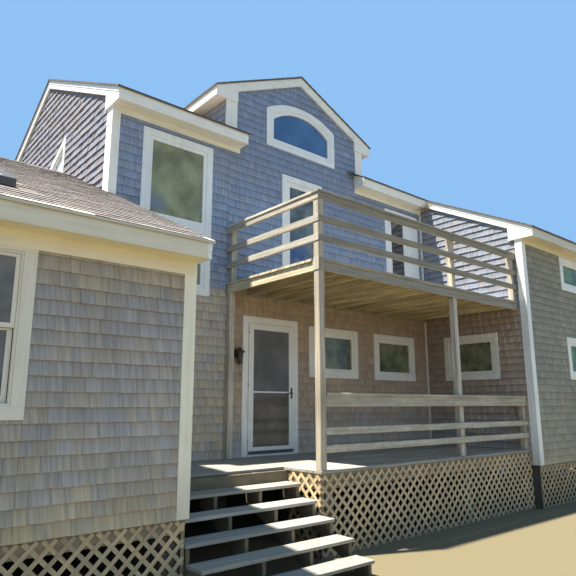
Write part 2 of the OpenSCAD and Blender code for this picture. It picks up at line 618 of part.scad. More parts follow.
module ground_window_frames() color(trim_white) seat() {
  front_frame(porch_window_left, 0);
  front_frame(porch_window_right, 0);
  front_frame(block_low_window, -block_forward);
  front_frame(wing_window, -wing_forward, [wing_meeting_rail]);
  side_frame(porch_side_window, deck_length, -1);
  for (o = end_low) side_frame(o, block_right, 1);
  for (o = wing_left_window) side_frame(o, wing_left, -1);
  for (o = back_low) back_frame(o, main_depth);
  for (o = wing_back_window) back_frame(o, wing_back);
}
module ground_window_glass() color(glass_blue) seat() {
  front_glass(porch_window_left, 0);
  front_glass(porch_window_right, 0);
  front_glass(block_low_window, -block_forward);
  front_glass(wing_window, -wing_forward);
  side_glass(porch_side_window, deck_length, -1);
  for (o = end_low) side_glass(o, block_right, 1);
  for (o = wing_left_window) side_glass(o, wing_left, -1);
  for (o = back_low) back_glass(o, main_depth);
  for (o = wing_back_window) back_glass(o, wing_back);
}
module upper_window_frames() color(trim_white) seat() {
  front_frame(big_window, 0, [big_window_rail]);
  front_frame(block_high_window, -block_forward);
  for (o = end_high) side_frame(o, block_right, 1);
  for (o = back_high) back_frame(o, main_depth);
}
module upper_window_glass() color(glass_blue) seat() {
  front_glass(big_window, 0);
  front_glass(block_high_window, -block_forward);
  for (o = end_high) side_glass(o, block_right, 1);
  for (o = back_high) back_glass(o, main_depth);
}
module gable_window_frames() color(trim_white) seat() {
  along_y(-casing_thick, 0) difference() {
    arch_shape(arch_window, arch_rise, 0);
    arch_shape(arch_window, arch_rise, casing);
  }
  along_y(-casing_thick / 2, sash_deep) difference() {
    arch_shape(arch_window, arch_rise, casing);
    arch_shape(arch_window, arch_rise, casing + sash);
  }
  along_x(main_left - casing_thick, main_left) difference() {
    raked_hole(raked_window, 0);
    raked_hole(raked_window, raked_casing);
  }
  along_x(main_left - casing_thick / 2, main_left + sash_deep) difference() {
    raked_hole(raked_window, raked_casing);
    raked_hole(raked_window, raked_casing + raked_sash);
  }
}
raked_sash = 30;
module gable_and_skylight_glass() color(glass_blue) seat() {
  skylight_glass();
  along_y(glass_in, glass_in + glass_thick) arch_shape(arch_window, arch_rise, casing + sash);
  along_x(main_left + glass_in, main_left + glass_in + glass_thick) raked_hole(raked_window, raked_casing + raked_sash);
}
// The upper deck's doors
module door_face_2d(o) difference() {
  translate([o[0], o[2]]) square([o[1] - o[0], o[3] - o[2]]);
  door_hole(o);
}
stile = 90;
kick = 180;
module leaf_2d(o) difference() {
  door_hole(o);
  translate([o[0] + casing + stile, o[2] + kick])
    square([o[1] - o[0] - 2 * casing - 2 * stile, o[3] - o[2] - casing - kick - stile]);
}
side_stile = [117, 210]; // the second door's stiles, left and right
module side_leaf_2d() difference() {
  side_hole();
  translate([side_door_hole[0] + side_stile[0], side_door[2] + kick])
    square([side_door_hole[1] - side_door_hole[0] - side_stile[0] - side_stile[1],
            side_door[3] - side_door[2] - casing - kick - stile]);
}
module deck_door_frames() color(trim_white) seat() {
  along_y(-casing_thick, 0) door_face_2d(deck_door);
  along_y(0, sash_deep) leaf_2d(deck_door);
  along_y(-casing_thick, 0) difference() {
    translate([side_door[0], side_door[2]]) square([side_door[1] - side_door[0], side_door[3] - side_door[2]]);
    side_hole();
  }
  along_y(0, sash_deep) side_leaf_2d();
}
module deck_door_glass() color(glass_blue) seat() along_y(glass_in, glass_in + glass_thick) {
  translate([deck_door[0] + casing + stile, deck_door[2] + kick])
    square([deck_door[1] - deck_door[0] - 2 * casing - 2 * stile, deck_door[3] - deck_door[2] - casing - kick - stile]);
  translate([side_door_hole[0] + side_stile[0], side_door[2] + kick])
    square([side_door_hole[1] - side_door_hole[0] - side_stile[0] - side_stile[1],
            side_door[3] - side_door[2] - casing - kick - stile]);
}

// The storm door, which opens
door_gap = 5; // clearance round the storm door
door_thick = 36;
door_sill = 30; // height of the threshold
door_left = house_door[0] + casing + door_gap;
door_right = house_door[1] - casing - door_gap;
door_low = deck_level + door_sill + door_gap;
door_high = house_door[3] - casing - door_gap;
door_front = -door_thick; // the leaf's outer face
door_stile = 100;
door_kick = 110;
bar_level = 2020;
door_bar = 25; // height of the bar between the two panes
module door_casing() color(trim_white) seat() {
  along_y(-casing_thick, 0) door_face_2d(house_door);
  span([house_door[0] + casing, -casing_thick, deck_level], [house_door[1] - casing, wall, deck_level + door_sill]);
}
module storm_door() color(trim_white) seat() difference() {
  span([door_left, door_front, door_low], [door_right, 0, door_high]);
  span([door_left + door_stile, door_front - cut, door_low + door_kick],
       [door_right - door_stile, cut, bar_level]);
  span([door_left + door_stile, door_front - cut, bar_level + door_bar],
       [door_right - door_stile, cut, door_high - door_stile]);
}
module storm_door_glass() color(glass_blue) seat() {
  span([door_left + door_stile, -24, door_low + door_kick], [door_right - door_stile, -12, bar_level]);
  span([door_left + door_stile, -24, bar_level + door_bar], [door_right - door_stile, -12, door_high - door_stile]);
}
handle_plate = [30, 180, 8]; // width, height and thickness
handle_reach = 45; // from the leaf's face to the lever's far side
handle_bar = 15; // thickness of the lever
handle_spindle = 12;
lever = 110; // length of the lever
module door_handle() color(metal_dark) seat() {
  x = door_right - door_stile / 2;
  z = bar_level;
  lever_y = door_front - handle_reach + handle_bar / 2;
  span([x - handle_plate[0] / 2, door_front - handle_plate[2], z - handle_plate[1] / 2],
       [x + handle_plate[0] / 2, door_front, z + handle_plate[1] / 2]);
  translate([x, door_front - handle_plate[2] / 2, z]) rotate([90, 0, 0])
    cylinder(h = door_front - handle_plate[2] / 2 - lever_y, d = handle_spindle, $fn = 24);
  translate([x, lever_y, z]) rotate([0, -90, 0]) cylinder(h = lever, d = handle_bar, $fn = 24);
  translate([x, lever_y, z]) sphere(d = handle_bar + 6, $fn = 24);
}
// The hinges: a pin on a plate of the casing carries a sleeve on a plate of the leaf
hinge_x = door_left - door_gap / 2; // the joint's axis
hinge_y = door_front - 13;
pin_d = 8;
sleeve_d = 16;
knuckle = 30; // height of each half
pin_play = 0.1; // clearance between the pin and its sleeve, all round
hinge_plate = 4;
hinge_leaf = 35; // how far a plate reaches from the axis
hinge_levels = [door_low + 180, (door_low + door_high) / 2, door_high - 180];
module hinge_pins() color(metal_dark) seat() for (z = hinge_levels) {
  translate([hinge_x, hinge_y, z]) cylinder(h = knuckle, d = sleeve_d, $fn = 32);
  translate([hinge_x, hinge_y, z]) cylinder(h = 2 * knuckle + seam, d = pin_d, $fn = 32);
  span([hinge_x - sleeve_d / 2, hinge_y, z], [hinge_x - sleeve_d / 2 + hinge_plate, -casing_thick, z + knuckle]);
  span([hinge_x - hinge_leaf, -casing_thick - hinge_plate, z],
       [hinge_x - sleeve_d / 2 + hinge_plate, -casing_thick, z + knuckle]);
}
module hinge_sleeves() color(metal_dark) seat() for (z = hinge_levels) translate([0, 0, z + knuckle + seam]) {
  difference() {
    union() {
      translate([hinge_x, hinge_y, 0]) cylinder(h = knuckle, d = sleeve_d, $fn = 32);
      span([hinge_x + sleeve_d / 2 - hinge_plate, hinge_y, 0], [hinge_x + sleeve_d / 2, door_front, knuckle]);
      span([hinge_x + sleeve_d / 2 - hinge_plate, door_front - hinge_plate, 0],
           [hinge_x + hinge_leaf, door_front, knuckle]);
    }
    translate([hinge_x, hinge_y, -cut]) cylinder(h = knuckle + 2 * cut, d = pin_d + 2 * pin_play, $fn = 32);
  }
}
lantern_at = [225, 2480]; // the lantern's middle and the bottom of its glass
lantern_out = 110; // from the wall to the lantern's middle
lantern_foot = 25;
lantern_glass = 170; // height of the glass
lantern_finial = 92; // height of the cap with its finial
module wall_lantern() color(metal_dark) seat() {
  span([lantern_at[0] - 50, -casing_thick, lantern_at[1] + 90], [lantern_at[0] + 50, 0, lantern_at[1] + 230]);
  span([lantern_at[0] - 12, -lantern_out, lantern_at[1] + 205], [lantern_at[0] + 12, -casing_thick, lantern_at[1] + 229]);
  // base ring, glass, wide cap and finial in one turned profile
  translate([lantern_at[0], -lantern_out, lantern_at[1]]) rotate_extrude($fn = 36) polygon([
    [0, -lantern_foot], [18, -lantern_foot], [22, -8], [52, 0], [52, 12], [44, 16], [54, lantern_glass - 5],
    [82, lantern_glass], [86, lantern_glass + 10], [30, lantern_glass + 58], [16, lantern_glass + 66],
    [12, lantern_glass + lantern_finial - 7], [0, lantern_glass + lantern_finial]]);
}

// Decks
board = 38;
rim_thick = 38;
board_over = 20; // how far the deck boards reach past the rim
lower_rim = 190;
upper_rim = 132;
module deck_outline(over) {
  translate([0, -deck_depth]) square([deck_length, deck_depth]);
  translate([main_left, -stair_edge]) square([stair_bay + cut, stair_edge]);
}
module lower_deck_boards() color(plank_grey) seat() translate([0, 0, deck_level - board])
  linear_extrude(board) deck_outline(0);
joist_step = 610; // from one joist of the lower deck to the next
module lower_deck_frame() color(plank_grey) seat() {
  top = deck_level - board;
  low = top - lower_rim;
  inner = board_over + rim_thick;
  // rims
  span([board_over, board_over - deck_depth, low], [deck_length, inner - deck_depth, top]);
  span([board_over, inner - deck_depth + seam, low], [inner, 0, top]);
  span([main_left, board_over - stair_edge, low], [board_over - seam, inner - stair_edge, top]);
  // joists
  for (x = [board_over + joist_step : joist_step : deck_length - rim_thick])
    span([x, inner - deck_depth + seam, low], [x + rim_thick, 0, top]);
  for (x = [main_left + joist_step / 2 : joist_step : -rim_thick])
    span([x, inner - stair_edge + seam, low], [x + rim_thick, 0, top]);
}
rail_board = 38;
edge = 8; // how far the corner post and the rails stand inside the boards' edge
mid_post_x = 3160;
end_post_x = deck_length - post - edge;
rail_y = edge - deck_depth; // outer face of the front rails and of the corner post
post_y = rail_y + rail_board; // the other posts stand behind the rails' boards
module upper_deck_boards() color(plank_grey) seat() translate([0, 0, upper_level - board])
  linear_extrude(board) difference() {
    translate([0, -deck_depth]) square([deck_length, deck_depth]);
    translate([edge, rail_y]) square(post);
  }
upper_step = 405;
module upper_deck_frame() color(plank_grey) seat() {
  top = upper_level - board;
  low = top - upper_rim;
  outer = board_over - deck_depth;
  inner = outer + rim_thick;
  side = board_over + rim_thick;
  span([edge + post, outer, low], [deck_length, inner, top]);
  span([board_over, rail_y + post, low], [side, 0, top]);
  span([side + seam, -rim_thick, low], [deck_length, 0, top]);
  for (x = [board_over + upper_step : upper_step : deck_length - rim_thick])
    span([x, inner + seam, low], [x + rim_thick, -rim_thick - seam, top]);
}
rail_foot = rail_height - board; // height of the posts under the flat caps
module post_at(x, y, low, top) span([x, y, low], [x + post, y + post, top]);
module posts() color(plank_grey) seat() {
  low = upper_level - board - upper_rim;
  // the corner post runs from the lower deck up to the upper rail's cap
  post_at(edge, rail_y, deck_level, upper_level + rail_foot);
  // the middle and wall posts carry the upper deck
  post_at(mid_post_x, post_y, deck_level, low);
  post_at(board_over, -post, deck_level, low);
  // short posts of the rails
  post_at(mid_post_x, post_y, upper_level, upper_level + rail_foot);
  post_at(end_post_x, post_y, upper_level, upper_level + rail_foot);
  post_at(edge + rail_board, -post, upper_level, upper_level + rail_foot);
  post_at(end_post_x, post_y, deck_level, deck_level + rail_foot);
}

// Rails
top_board = 140;
low_board = 90;
lower_boards = [210, 430]; // bottoms of the lower deck's two low rails above it
upper_boards = [235, 510];
cap_wide = 140;
// The boards of a rail: the one under the cap and the two below it
function board_list(level, top, lows) = concat(
  [[level + rail_foot - top, level + rail_foot]],
  [for (b = lows) [level + b, level + b + low_board]]);
module front_rail(level, top, lows, left) {
  for (b = board_list(level, top, lows))
    span([edge + post, rail_y, b[0]], [deck_length - edge, post_y, b[1]]);
  span([left, rail_y + (post - cap_wide) / 2, level + rail_foot],
       [deck_length - corner_thick - edge, rail_y + (post + cap_wide) / 2, level + rail_height]);
}
// The lower cap is notched round the middle post, which runs on up to the upper deck
module lower_front_rail() color(plank_grey) seat() difference() {
  front_rail(deck_level, top_board, lower_boards, edge + post);
  span([mid_post_x - seam, post_y, deck_level + rail_foot - cut],
       [mid_post_x + post + seam, post_y + post, deck_level + rail_height + cut]);
}
module upper_front_rail() color(plank_grey) seat()
  front_rail(upper_level, low_board, upper_boards, edge + (post - cap_wide) / 2);
module upper_side_rail() color(plank_grey) seat() {
  for (b = board_list(upper_level, low_board, upper_boards))
    span([edge, rail_y + post, b[0]], [edge + rail_board, -edge, b[1]]);
  span([edge + (post - cap_wide) / 2, rail_y + (post + cap_wide) / 2, upper_level + rail_foot],
       [edge + (post + cap_wide) / 2, -edge, upper_level + rail_height]);
}

// Stair
rise = deck_level / steps;
tread_deep = 285;
stringer_thick = 45;
stringer_drop = 120; // a stringer reaches this far under the deck's rim
stringer_toe = 30; // from the lowest tread's front edge back to the stringers
tread_right = -30;
stringer_at = [main_left + 20, -1330, -690, tread_right - 65];
function tread_front(n) = -stair_edge - n * tread_run;
module stringers() color(plank_grey) seat() for (x = stringer_at)
  along_x(x, x + stringer_thick) difference() {
    polygon([
      [board_over - stair_edge, deck_level - board],
      [board_over - stair_edge, deck_level - board - lower_rim - stringer_drop],
      [stair_foot + stringer_toe + tread_run * 0.6, 0], [stair_foot + stringer_toe, 0],
      [stair_foot + stringer_toe, rise - tread_thick]]);
    for (n = [1 : tread_count])
      translate([tread_front(n) - cut, deck_level - n * rise - tread_thick])
        square([tread_run + cut + board_over, rise * 1.5]);
  }
module treads() color(plank_grey) seat() for (n = [1 : tread_count])
  span([main_left + 5, tread_front(n), deck_level - n * rise - tread_thick],
       [tread_right, tread_front(n) + tread_deep, deck_level - n * rise]);

// Lattice
strip = 38;
lattice_thick = 14;
lattice_step = 230; // from one diamond to the next along the panels of the front
back_step = 2 * lattice_step; // the same on the other sides
band = 110;
lattice_frame = 50;
// A panel drawn in its own plane: a band at the top, a frame and crossing strips
module lattice_2d(long, high, step) {
  difference() {
    square([long, high]);
    translate([lattice_frame, lattice_frame]) square([long - 2 * lattice_frame, high - lattice_frame - band]);
  }
  intersection() {
    square([long, high]);
    for (s = [-1, 1]) for (x = [-high : step : long + high]) translate([x + (s > 0 ? 0 : high), 0])
      rotate(s > 0 ? 45 : 135) translate([0, -strip / 2]) square([high * 1.5, strip]);
  }
}
module lattice_wing() color(lattice_grey) seat()
  translate([wing_left, 0, 0]) along_y(-wing_forward, lattice_thick - wing_forward)
    lattice_2d(wing_length, wall_base, lattice_step);
module lattice_deck_front() color(lattice_grey) seat()
  along_y(board_over - deck_depth - lattice_thick, board_over - deck_depth) translate([board_over - lattice_thick, 0])
    lattice_2d(deck_length - board_over + lattice_thick, deck_level - board, lattice_step);
module lattice_deck_side() color(lattice_grey) seat()
  along_x(board_over - lattice_thick, board_over) translate([board_over - deck_depth, 0])
    lattice_2d(deck_depth - stair_edge - board_over, deck_level - board, lattice_step);
module lattice_block() color(lattice_grey) seat()
  along_y(-block_forward, lattice_thick - block_forward)
    translate([deck_length, 0]) lattice_2d(block_length, wall_base, lattice_step);
// The other sides: left, back of the wing, back of the house, right
module lattice_back() color(lattice_grey) seat() {
  along_x(wing_left, wing_left + lattice_thick) translate([lattice_thick - wing_forward, 0])
    lattice_2d(wing_depth - 2 * lattice_thick - seam, wall_base, back_step);
  along_y(wing_back - lattice_thick, wing_back)
    translate([wing_left, 0]) lattice_2d(wing_length, wall_base, back_step);
  along_y(main_depth - lattice_thick, main_depth)
    translate([main_left, 0]) lattice_2d(block_right - main_left, wall_base, back_step);
  along_x(block_right - lattice_thick, block_right) translate([lattice_thick - block_forward, 0])
    lattice_2d(block_forward + main_depth - 2 * lattice_thick - seam, wall_base, back_step);
}

piers();
ground_floor();
upper_floor();
front_wall_left();
front_wall_over_door();
front_wall_right();
front_wall_upper();
gable_front_wall();
gable_side_walls();
left_wall();
back_wall();
end_wall();
block_side_wall();
block_front_wall();
wing_front_wall();
wing_side_walls();
wing_back_wall();
roof_front();
roof_back();
roof_block();
gable_roof();
wing_roof_front();
wing_roof_back();
roof_shingles();
skylight();
eave_soffits();
fascia_boards();
rake_boards();
corner_boards();
ground_window_frames();
upper_window_frames();
gable_window_frames();
deck_door_frames();
ground_window_glass();
upper_window_glass();
gable_and_skylight_glass();
deck_door_glass();
door_casing();
storm_door();
storm_door_glass();
door_handle();
hinge_pins();
hinge_sleeves();
wall_lantern();
lower_deck_boards();
lower_deck_frame();
upper_deck_boards();
upper_deck_frame();
posts();
lower_front_rail();
upper_front_rail();
upper_side_rail();
stringers();
treads();
lattice_wing();
lattice_deck_front();
lattice_deck_side();
lattice_block();
lattice_back();
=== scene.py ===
import math
import random

import bmesh
import bpy
from mathutils import Matrix, Vector


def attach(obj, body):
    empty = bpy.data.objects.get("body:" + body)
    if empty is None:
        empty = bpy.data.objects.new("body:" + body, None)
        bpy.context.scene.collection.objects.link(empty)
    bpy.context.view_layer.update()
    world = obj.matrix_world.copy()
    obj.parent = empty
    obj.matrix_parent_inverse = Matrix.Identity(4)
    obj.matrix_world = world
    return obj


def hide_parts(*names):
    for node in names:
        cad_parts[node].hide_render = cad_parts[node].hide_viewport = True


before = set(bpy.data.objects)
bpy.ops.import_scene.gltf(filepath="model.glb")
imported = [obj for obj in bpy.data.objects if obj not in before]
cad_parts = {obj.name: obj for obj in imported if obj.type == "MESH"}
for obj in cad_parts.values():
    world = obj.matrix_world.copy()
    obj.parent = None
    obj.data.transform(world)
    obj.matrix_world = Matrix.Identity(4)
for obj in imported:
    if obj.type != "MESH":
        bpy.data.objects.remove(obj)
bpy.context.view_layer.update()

bl_info = {
    "name": "Beach house",
    "version": (1, 0, 0),
    "blender": (4, 5, 0),
    "location": "3D View > Sidebar > Beach House",
    "description": "Shingles, roofing, painted trim, planks, lattice and glass for the beach house",
    "category": "Object",
}

# The plan, in metres: x = 0 is the left side of the decks, y = 0 the main front wall, z = 0 the ground.
PLAN_SHIFT = Vector((-1.725, -1.815, 0.0))
WING_LEFT, HOUSE_LEFT, DECK_RIGHT, HOUSE_RIGHT = -6.25, -2.05, 5.30, 9.70
WING_FRONT, BLOCK_FRONT, WING_BACK, HOUSE_BACK = -2.45, -2.34, 5.85, 6.40
SIDING_FOOT, LOWER_DECK, UNDER_DECK, UPPER_DECK = 0.75, 1.02, 3.60, 3.77
DECK_DEPTH, DECK_OVER_STAIR = 2.20, 1.56
GABLE_LEFT, GABLE_RIGHT, GABLE_MIDDLE = -0.08, 3.34, 1.63
RIDGE_Y, RIDGE, MAIN_PITCH = 3.20, 8.115, 0.5
WING_RIDGE_Y, WING_RIDGE, WING_PITCH = 1.70, 5.6434, 0.485
GABLE_PITCH, GABLE_SOFFIT = 0.46, 7.018
MAIN_FRIEZE, BLOCK_FRIEZE, WING_FRIEZE = 6.085, 4.915, 3.150
EAVE, RAKE, GABLE_EAVE = 0.290, 0.075, 0.240
CORNER_BOARD, INNER_STRIP = 0.115, 0.040
UPPER_CORNER = 0.185  # side face of the corner board on the main left gable
ROOF_DEPTH = 0.200
LOW_ROOF, IN_BLOCK = 4.0, -1.0  # the wing's trim is lower, the right block's trim further forward
# Outsides of the casings: left, right, bottom, top; an arch's top is where it springs
BIG_WINDOW = (-1.570, -0.320, 3.500, 6.010)
DECK_DOOR = (1.175, 2.165, UPPER_DECK, 5.980)
SIDE_DOOR = (4.033, 5.147, UPPER_DECK, 5.980)
PORCH_WINDOWS = ((1.804, 3.082, 2.307, 3.220), (3.553, 4.846, 2.307, 3.220))
PORCH_SIDE_WINDOW = (-1.710, -0.475, 2.315, 3.220)
HOUSE_DOOR = (0.345, 1.533, LOWER_DECK, 3.270)
BLOCK_WINDOWS = ((6.860, 8.140, 2.325, 3.190), (6.860, 8.140, 4.186, 4.910))
WING_WINDOW = (-4.670, -3.620, 1.706, 3.150)
ARCH_WINDOW = (0.807, 2.530, 6.450, 7.180)
ARCH_RISE = 0.250
RUSTY_CORNER = Vector((5.19, -0.25, 6.08))
RAKED_WINDOW = (2.020, 5.600, 6.480)  # where its upright side stands, its bottom, and its top there
END_WINDOWS = tuple((left, left + 1.25, low, high) for left in (0.90, 4.10)
                    for low, high in ((2.00, 3.20), (4.65, 5.95)))
BACK_WINDOWS = tuple((left, right, low, high) for left, right in ((-1.00, 0.25), (2.60, 3.85), (6.86, 8.14))
                     for low, high in ((2.00, 3.20), (4.65, 5.90)))
WING_LEFT_WINDOWS = ((-1.10, 0.15, 1.706, 3.150), (3.25, 4.50, 1.706, 3.150))
SKYLIGHT = (-4.55, -3.75, -2.03, -1.00)  # left, right, front, back
CAMERA_PLACE = Vector((-5.042, -7.514, 1.826))
KEY_WAY, FILL_WAY = Vector((0.325, -0.14, -1.00)), Vector((0.10, 1.0, -0.12))


def main_top(y):
    return RIDGE - MAIN_PITCH * abs(y - RIDGE_Y)


def wing_top(y):
    return WING_RIDGE - WING_PITCH * abs(y - WING_RIDGE_Y)


def gable_top(x):
    return RIDGE - GABLE_PITCH * abs(x - GABLE_MIDDLE)


# Settings

def length(name, default, description):
    return bpy.props.FloatProperty(name=name, description=description, default=default, unit="LENGTH")


def angle(name, degrees, description):
    return bpy.props.FloatProperty(name=name, description=description, default=math.radians(degrees), subtype="ANGLE")


def strength(name, default, description):
    return bpy.props.FloatProperty(name=name, description=description, default=default)


def tint(name, default, description):
    return bpy.props.FloatVectorProperty(name=name, description=description, default=default, subtype="COLOR")


class BeachHouseSidingSettings(bpy.types.PropertyGroup):
    exposure: length("Exposure", 0.132, "Height of a shingle course that shows")
    narrowest: length("Narrowest", 0.075, "Width of the narrowest shingle")
    widest: length("Widest", 0.215, "Width of the widest shingle")
    butt: length("Butt", 0.019, "How far a shingle's lower edge stands off the wall")
    joint: length("Joint", 0.0020, "Gap between two shingles")
    # The blue in this grey is partly painted sky shade: the front walls in shade take most of it, the other walls more
    # plain grey
    weathered: tint("Weathered", (0.240, 0.325, 0.485), "Silver grey of the open walls")
    plain: tint("Plain", (0.430, 0.370, 0.290), "Neutral grey of the lower walls")
    mossy: tint("Mossy", (0.210, 0.245, 0.155), "Green-grey of the right block")
    brown: tint("Brown", (0.400, 0.270, 0.175), "Brown of the sheltered walls")
    tan: tint("Tan", (0.520, 0.410, 0.220), "Tan of the rows near the ground")


class BeachHouseRoofSettings(bpy.types.PropertyGroup):
    exposure: length("Exposure", 0.143, "Height of a roofing course along the slope")
    tab: length("Tab", 0.210, "Middle width of a roofing tab")
    light: tint("Light", (0.320, 0.282, 0.265), "Lighter granules")
    dark: tint("Dark", (0.024, 0.019, 0.018), "Darker granules")


class BeachHouseTrimSettings(bpy.types.PropertyGroup):
    eased: length("Eased edge", 0.003, "Bevel of the painted boards")
    paint: tint("Paint", (0.86, 0.83, 0.74), "Colour of the painted boards")
    # This cool grey is partly painted blue sky light on the frames
    cool_paint: tint("Cool paint", (0.78, 0.81, 0.80), "Colour of the newer window frames")
    # Painted light: this cream stands for warm bounce light from the sunlit ground on the eaves and the wing's trim
    cream: tint("Cream", (0.90, 0.82, 0.57), "Colour of the yellowed paint under the eaves")
    grime: tint("Grime", (0.36, 0.31, 0.23), "Colour of the dirt on the paint")


class BeachHouseDeckSettings(bpy.types.PropertyGroup):
    plank: length("Plank", 0.140, "Width of a deck board")
    gap: length("Gap", 0.006, "Gap between deck boards")
    lattice_step: length("Lattice step", 0.153, "From one diamond of the lattice to the next")
    wood: tint("Wood", (0.37, 0.37, 0.345), "Grey of the weathered planks")
    # This pale grey is partly painted sunlight, so that the sunlit side rail and posts read white
    post_wood: tint("Post wood", (0.70, 0.65, 0.55), "Pale grey of the posts and the side rail")
    # This tan is partly the sheltered wood's own colour and partly painted warm bounce light from the deck below
    ceiling: tint("Ceiling", (0.80, 0.70, 0.47), "Tan of the upper deck's sheltered wood")
    # This dark brown is partly the wood's own and partly painted shade on wood behind and below
    damp: tint("Damp", (0.115, 0.088, 0.050), "Brown of the wood behind and below")
    rail_wood: tint("Rail wood", (0.30, 0.28, 0.225), "Grey-brown of the upper front rail")
    lichen: tint("Lichen", (0.30, 0.27, 0.17), "Growth on the rails")
    lattice: tint("Lattice", (0.74, 0.57, 0.32), "Colour of the lattice strips")


class BeachHouseStageSettings(bpy.types.PropertyGroup):
    focal: bpy.props.FloatProperty(
        name="Lens", description="Focal length for a square picture", default=35.34, unit="CAMERA")
    yaw: angle("Yaw", 40.28, "Camera's turn to the right of straight ahead")
    tilt: angle("Tilt", 11.677, "Camera's tilt above level")
    roll: angle("Roll", -0.06, "Camera's roll")
    sun: strength("Key light", 15.0, "Strength of the key light")
    sky: strength("Even light", 1.08, "Strength of the even light")
    fill: strength("Warm fill", 0.40, "Strength of the soft light from the front")
    sky_colour: tint("Even light's colour", (0.26, 0.50, 0.84), "Colour of the even light")
    floor: tint("Floor", (0.128, 0.103, 0.053), "Colour of the floor")


# Shader helpers

def put(tree, kind, feeds=None, **settings):
    """Adds a node, sets its options, and links or sets the inputs in feeds."""
    node = tree.nodes.new(kind)
    for key, value in settings.items():
        setattr(node, key, value)
    for name, value in (feeds or {}).items():
        socket = node.inputs[name]
        if isinstance(value, bpy.types.NodeSocket):
            tree.links.new(value, socket)
        else:
            socket.default_value = value
    return node


def rgba(colour):
    """Three numbers as a colour for a socket; what is a socket already stays so."""
    return colour if isinstance(colour, bpy.types.NodeSocket) else (*colour, 1.0)


def blended(tree, factor, first, second, blend_type="MIX"):
    """The colour between two colours."""
    return put(tree, "ShaderNodeMix", {0: factor, 6: rgba(first), 7: rgba(second)},
               data_type="RGBA", blend_type=blend_type).outputs[2]


def ranged(tree, value, low, high, to_low=0.0, to_high=1.0):
    """A value stretched from one range to another."""
    return put(tree, "ShaderNodeMapRange", {"Value": value, "From Min": low, "From Max": high,
                                            "To Min": to_low, "To Max": to_high}).outputs["Result"]


def stained(tree, colour, mask, most, stain):
    """A colour with another one over it, by a mask and up to a share."""
    return blended(tree, ranged(tree, mask, 0, 1, 0.0, most), colour, stain)


def reckon(tree, operation, first, second):
    return put(tree, "ShaderNodeMath", {0: first, 1: second}, operation=operation).outputs[0]


def moved(tree, operation, place, by):
    return put(tree, "ShaderNodeVectorMath", {0: place, 1: by}, operation=operation).outputs["Vector"]


def height_of(tree, place):
    return put(tree, "ShaderNodeSeparateXYZ", {0: place}).outputs[2]


def noise(tree, place, scale, detail, roughness=0.5):
    return put(tree, "ShaderNodeTexNoise", {"Vector": place, "Scale": scale, "Detail": detail,
                                            "Roughness": roughness}).outputs[0]


def place_in_object(tree):
    return put(tree, "ShaderNodeTexCoord").outputs["Object"]


def effect(name, numbers_in, numbers_out):
    """An empty shader node group that takes a place and numbers, with its input and output nodes."""
    group = bpy.data.node_groups.new(name, "ShaderNodeTree")
    group.interface.new_socket("Place", in_out="INPUT", socket_type="NodeSocketVector")
    for label, default in numbers_in.items():
        group.interface.new_socket(label, in_out="INPUT", socket_type="NodeSocketFloat").default_value = default
    for label in numbers_out:
        group.interface.new_socket(label, in_out="OUTPUT", socket_type="NodeSocketFloat")
    return group, group.nodes.new("NodeGroupInput"), group.nodes.new("NodeGroupOutput")


def wood_fibre():
    """Fine grain and long dark streaks along a board: the place runs along the grain in its first number."""
    if "Wood fibre" in bpy.data.node_groups:
        return bpy.data.node_groups["Wood fibre"]
    group, given, made = effect("Wood fibre", {"Fineness": 1.0}, ("Fibre", "Streak"))
    for label, stretch, detail, roughness, low, high in (
            ("Fibre", (5.0, 160.0, 1.0), 4.0, 0.65, 0.3, 0.7), ("Streak", (1.6, 26.0, 1.0), 3.0, 0.55, 0.35, 0.68)):
        place = moved(group, "MULTIPLY", given.outputs["Place"], stretch)
        grain = noise(group, place, given.outputs["Fineness"], detail, roughness)
        group.links.new(ranged(group, grain, low, high), made.inputs[label])
    return group


def weather():
    """Large soft blotches, and a mask that fades out with height above a level."""
    if "Weather" in bpy.data.node_groups:
        return bpy.data.node_groups["Weather"]
    group, given, made = effect("Weather", {"Size": 1.4, "Level": 0.0, "Height": 1.0}, ("Blotch", "Low"))
    blotch = noise(group, given.outputs["Place"], given.outputs["Size"], 5.0, 0.6)
    above = reckon(group, "SUBTRACT", height_of(group, given.outputs["Place"]), given.outputs["Level"])
    share = reckon(group, "DIVIDE", above, given.outputs["Height"])
    ragged = reckon(group, "ADD", share, ranged(group, blotch, 0.3, 0.7, -0.35, 0.35))
    group.links.new(ranged(group, blotch, 0.35, 0.68), made.inputs["Blotch"])
    group.links.new(ranged(group, ragged, 1.0, 0.0), made.inputs["Low"])
    return group


def wood_grain(tree, fineness):
    """The masks of a board's fibres and streaks, along its own grain."""
    place = put(tree, "ShaderNodeUVMap", uv_map="grain").outputs[0]
    return put(tree, "ShaderNodeGroup", {"Place": place, "Fineness": fineness}, node_tree=wood_fibre()).outputs


def weathering(tree, size, level=0.0, height=1.0):
    """The masks of soft blotches and of what lies low."""
    return put(tree, "ShaderNodeGroup", {"Place": place_in_object(tree), "Size": size, "Level": level,
                                         "Height": height}, node_tree=weather()).outputs


def tones(tree):
    """The four numbers that each shingle or board carries."""
    mark = put(tree, "ShaderNodeAttribute", attribute_name="tone", attribute_type="GEOMETRY")
    split = put(tree, "ShaderNodeSeparateColor", {0: mark.outputs["Color"]})
    return *split.outputs, mark.outputs["Alpha"]


def blank(name, roughness, **constants):
    """A material and its tree; the constants are other inputs of its Principled shader."""
    material = bpy.data.materials.new(name)
    material.use_nodes = True
    inputs = material.node_tree.nodes["Principled BSDF"].inputs
    inputs["Roughness"].default_value = roughness
    for label, value in constants.items():
        inputs[label.replace("_", " ")].default_value = value
    return material, material.node_tree


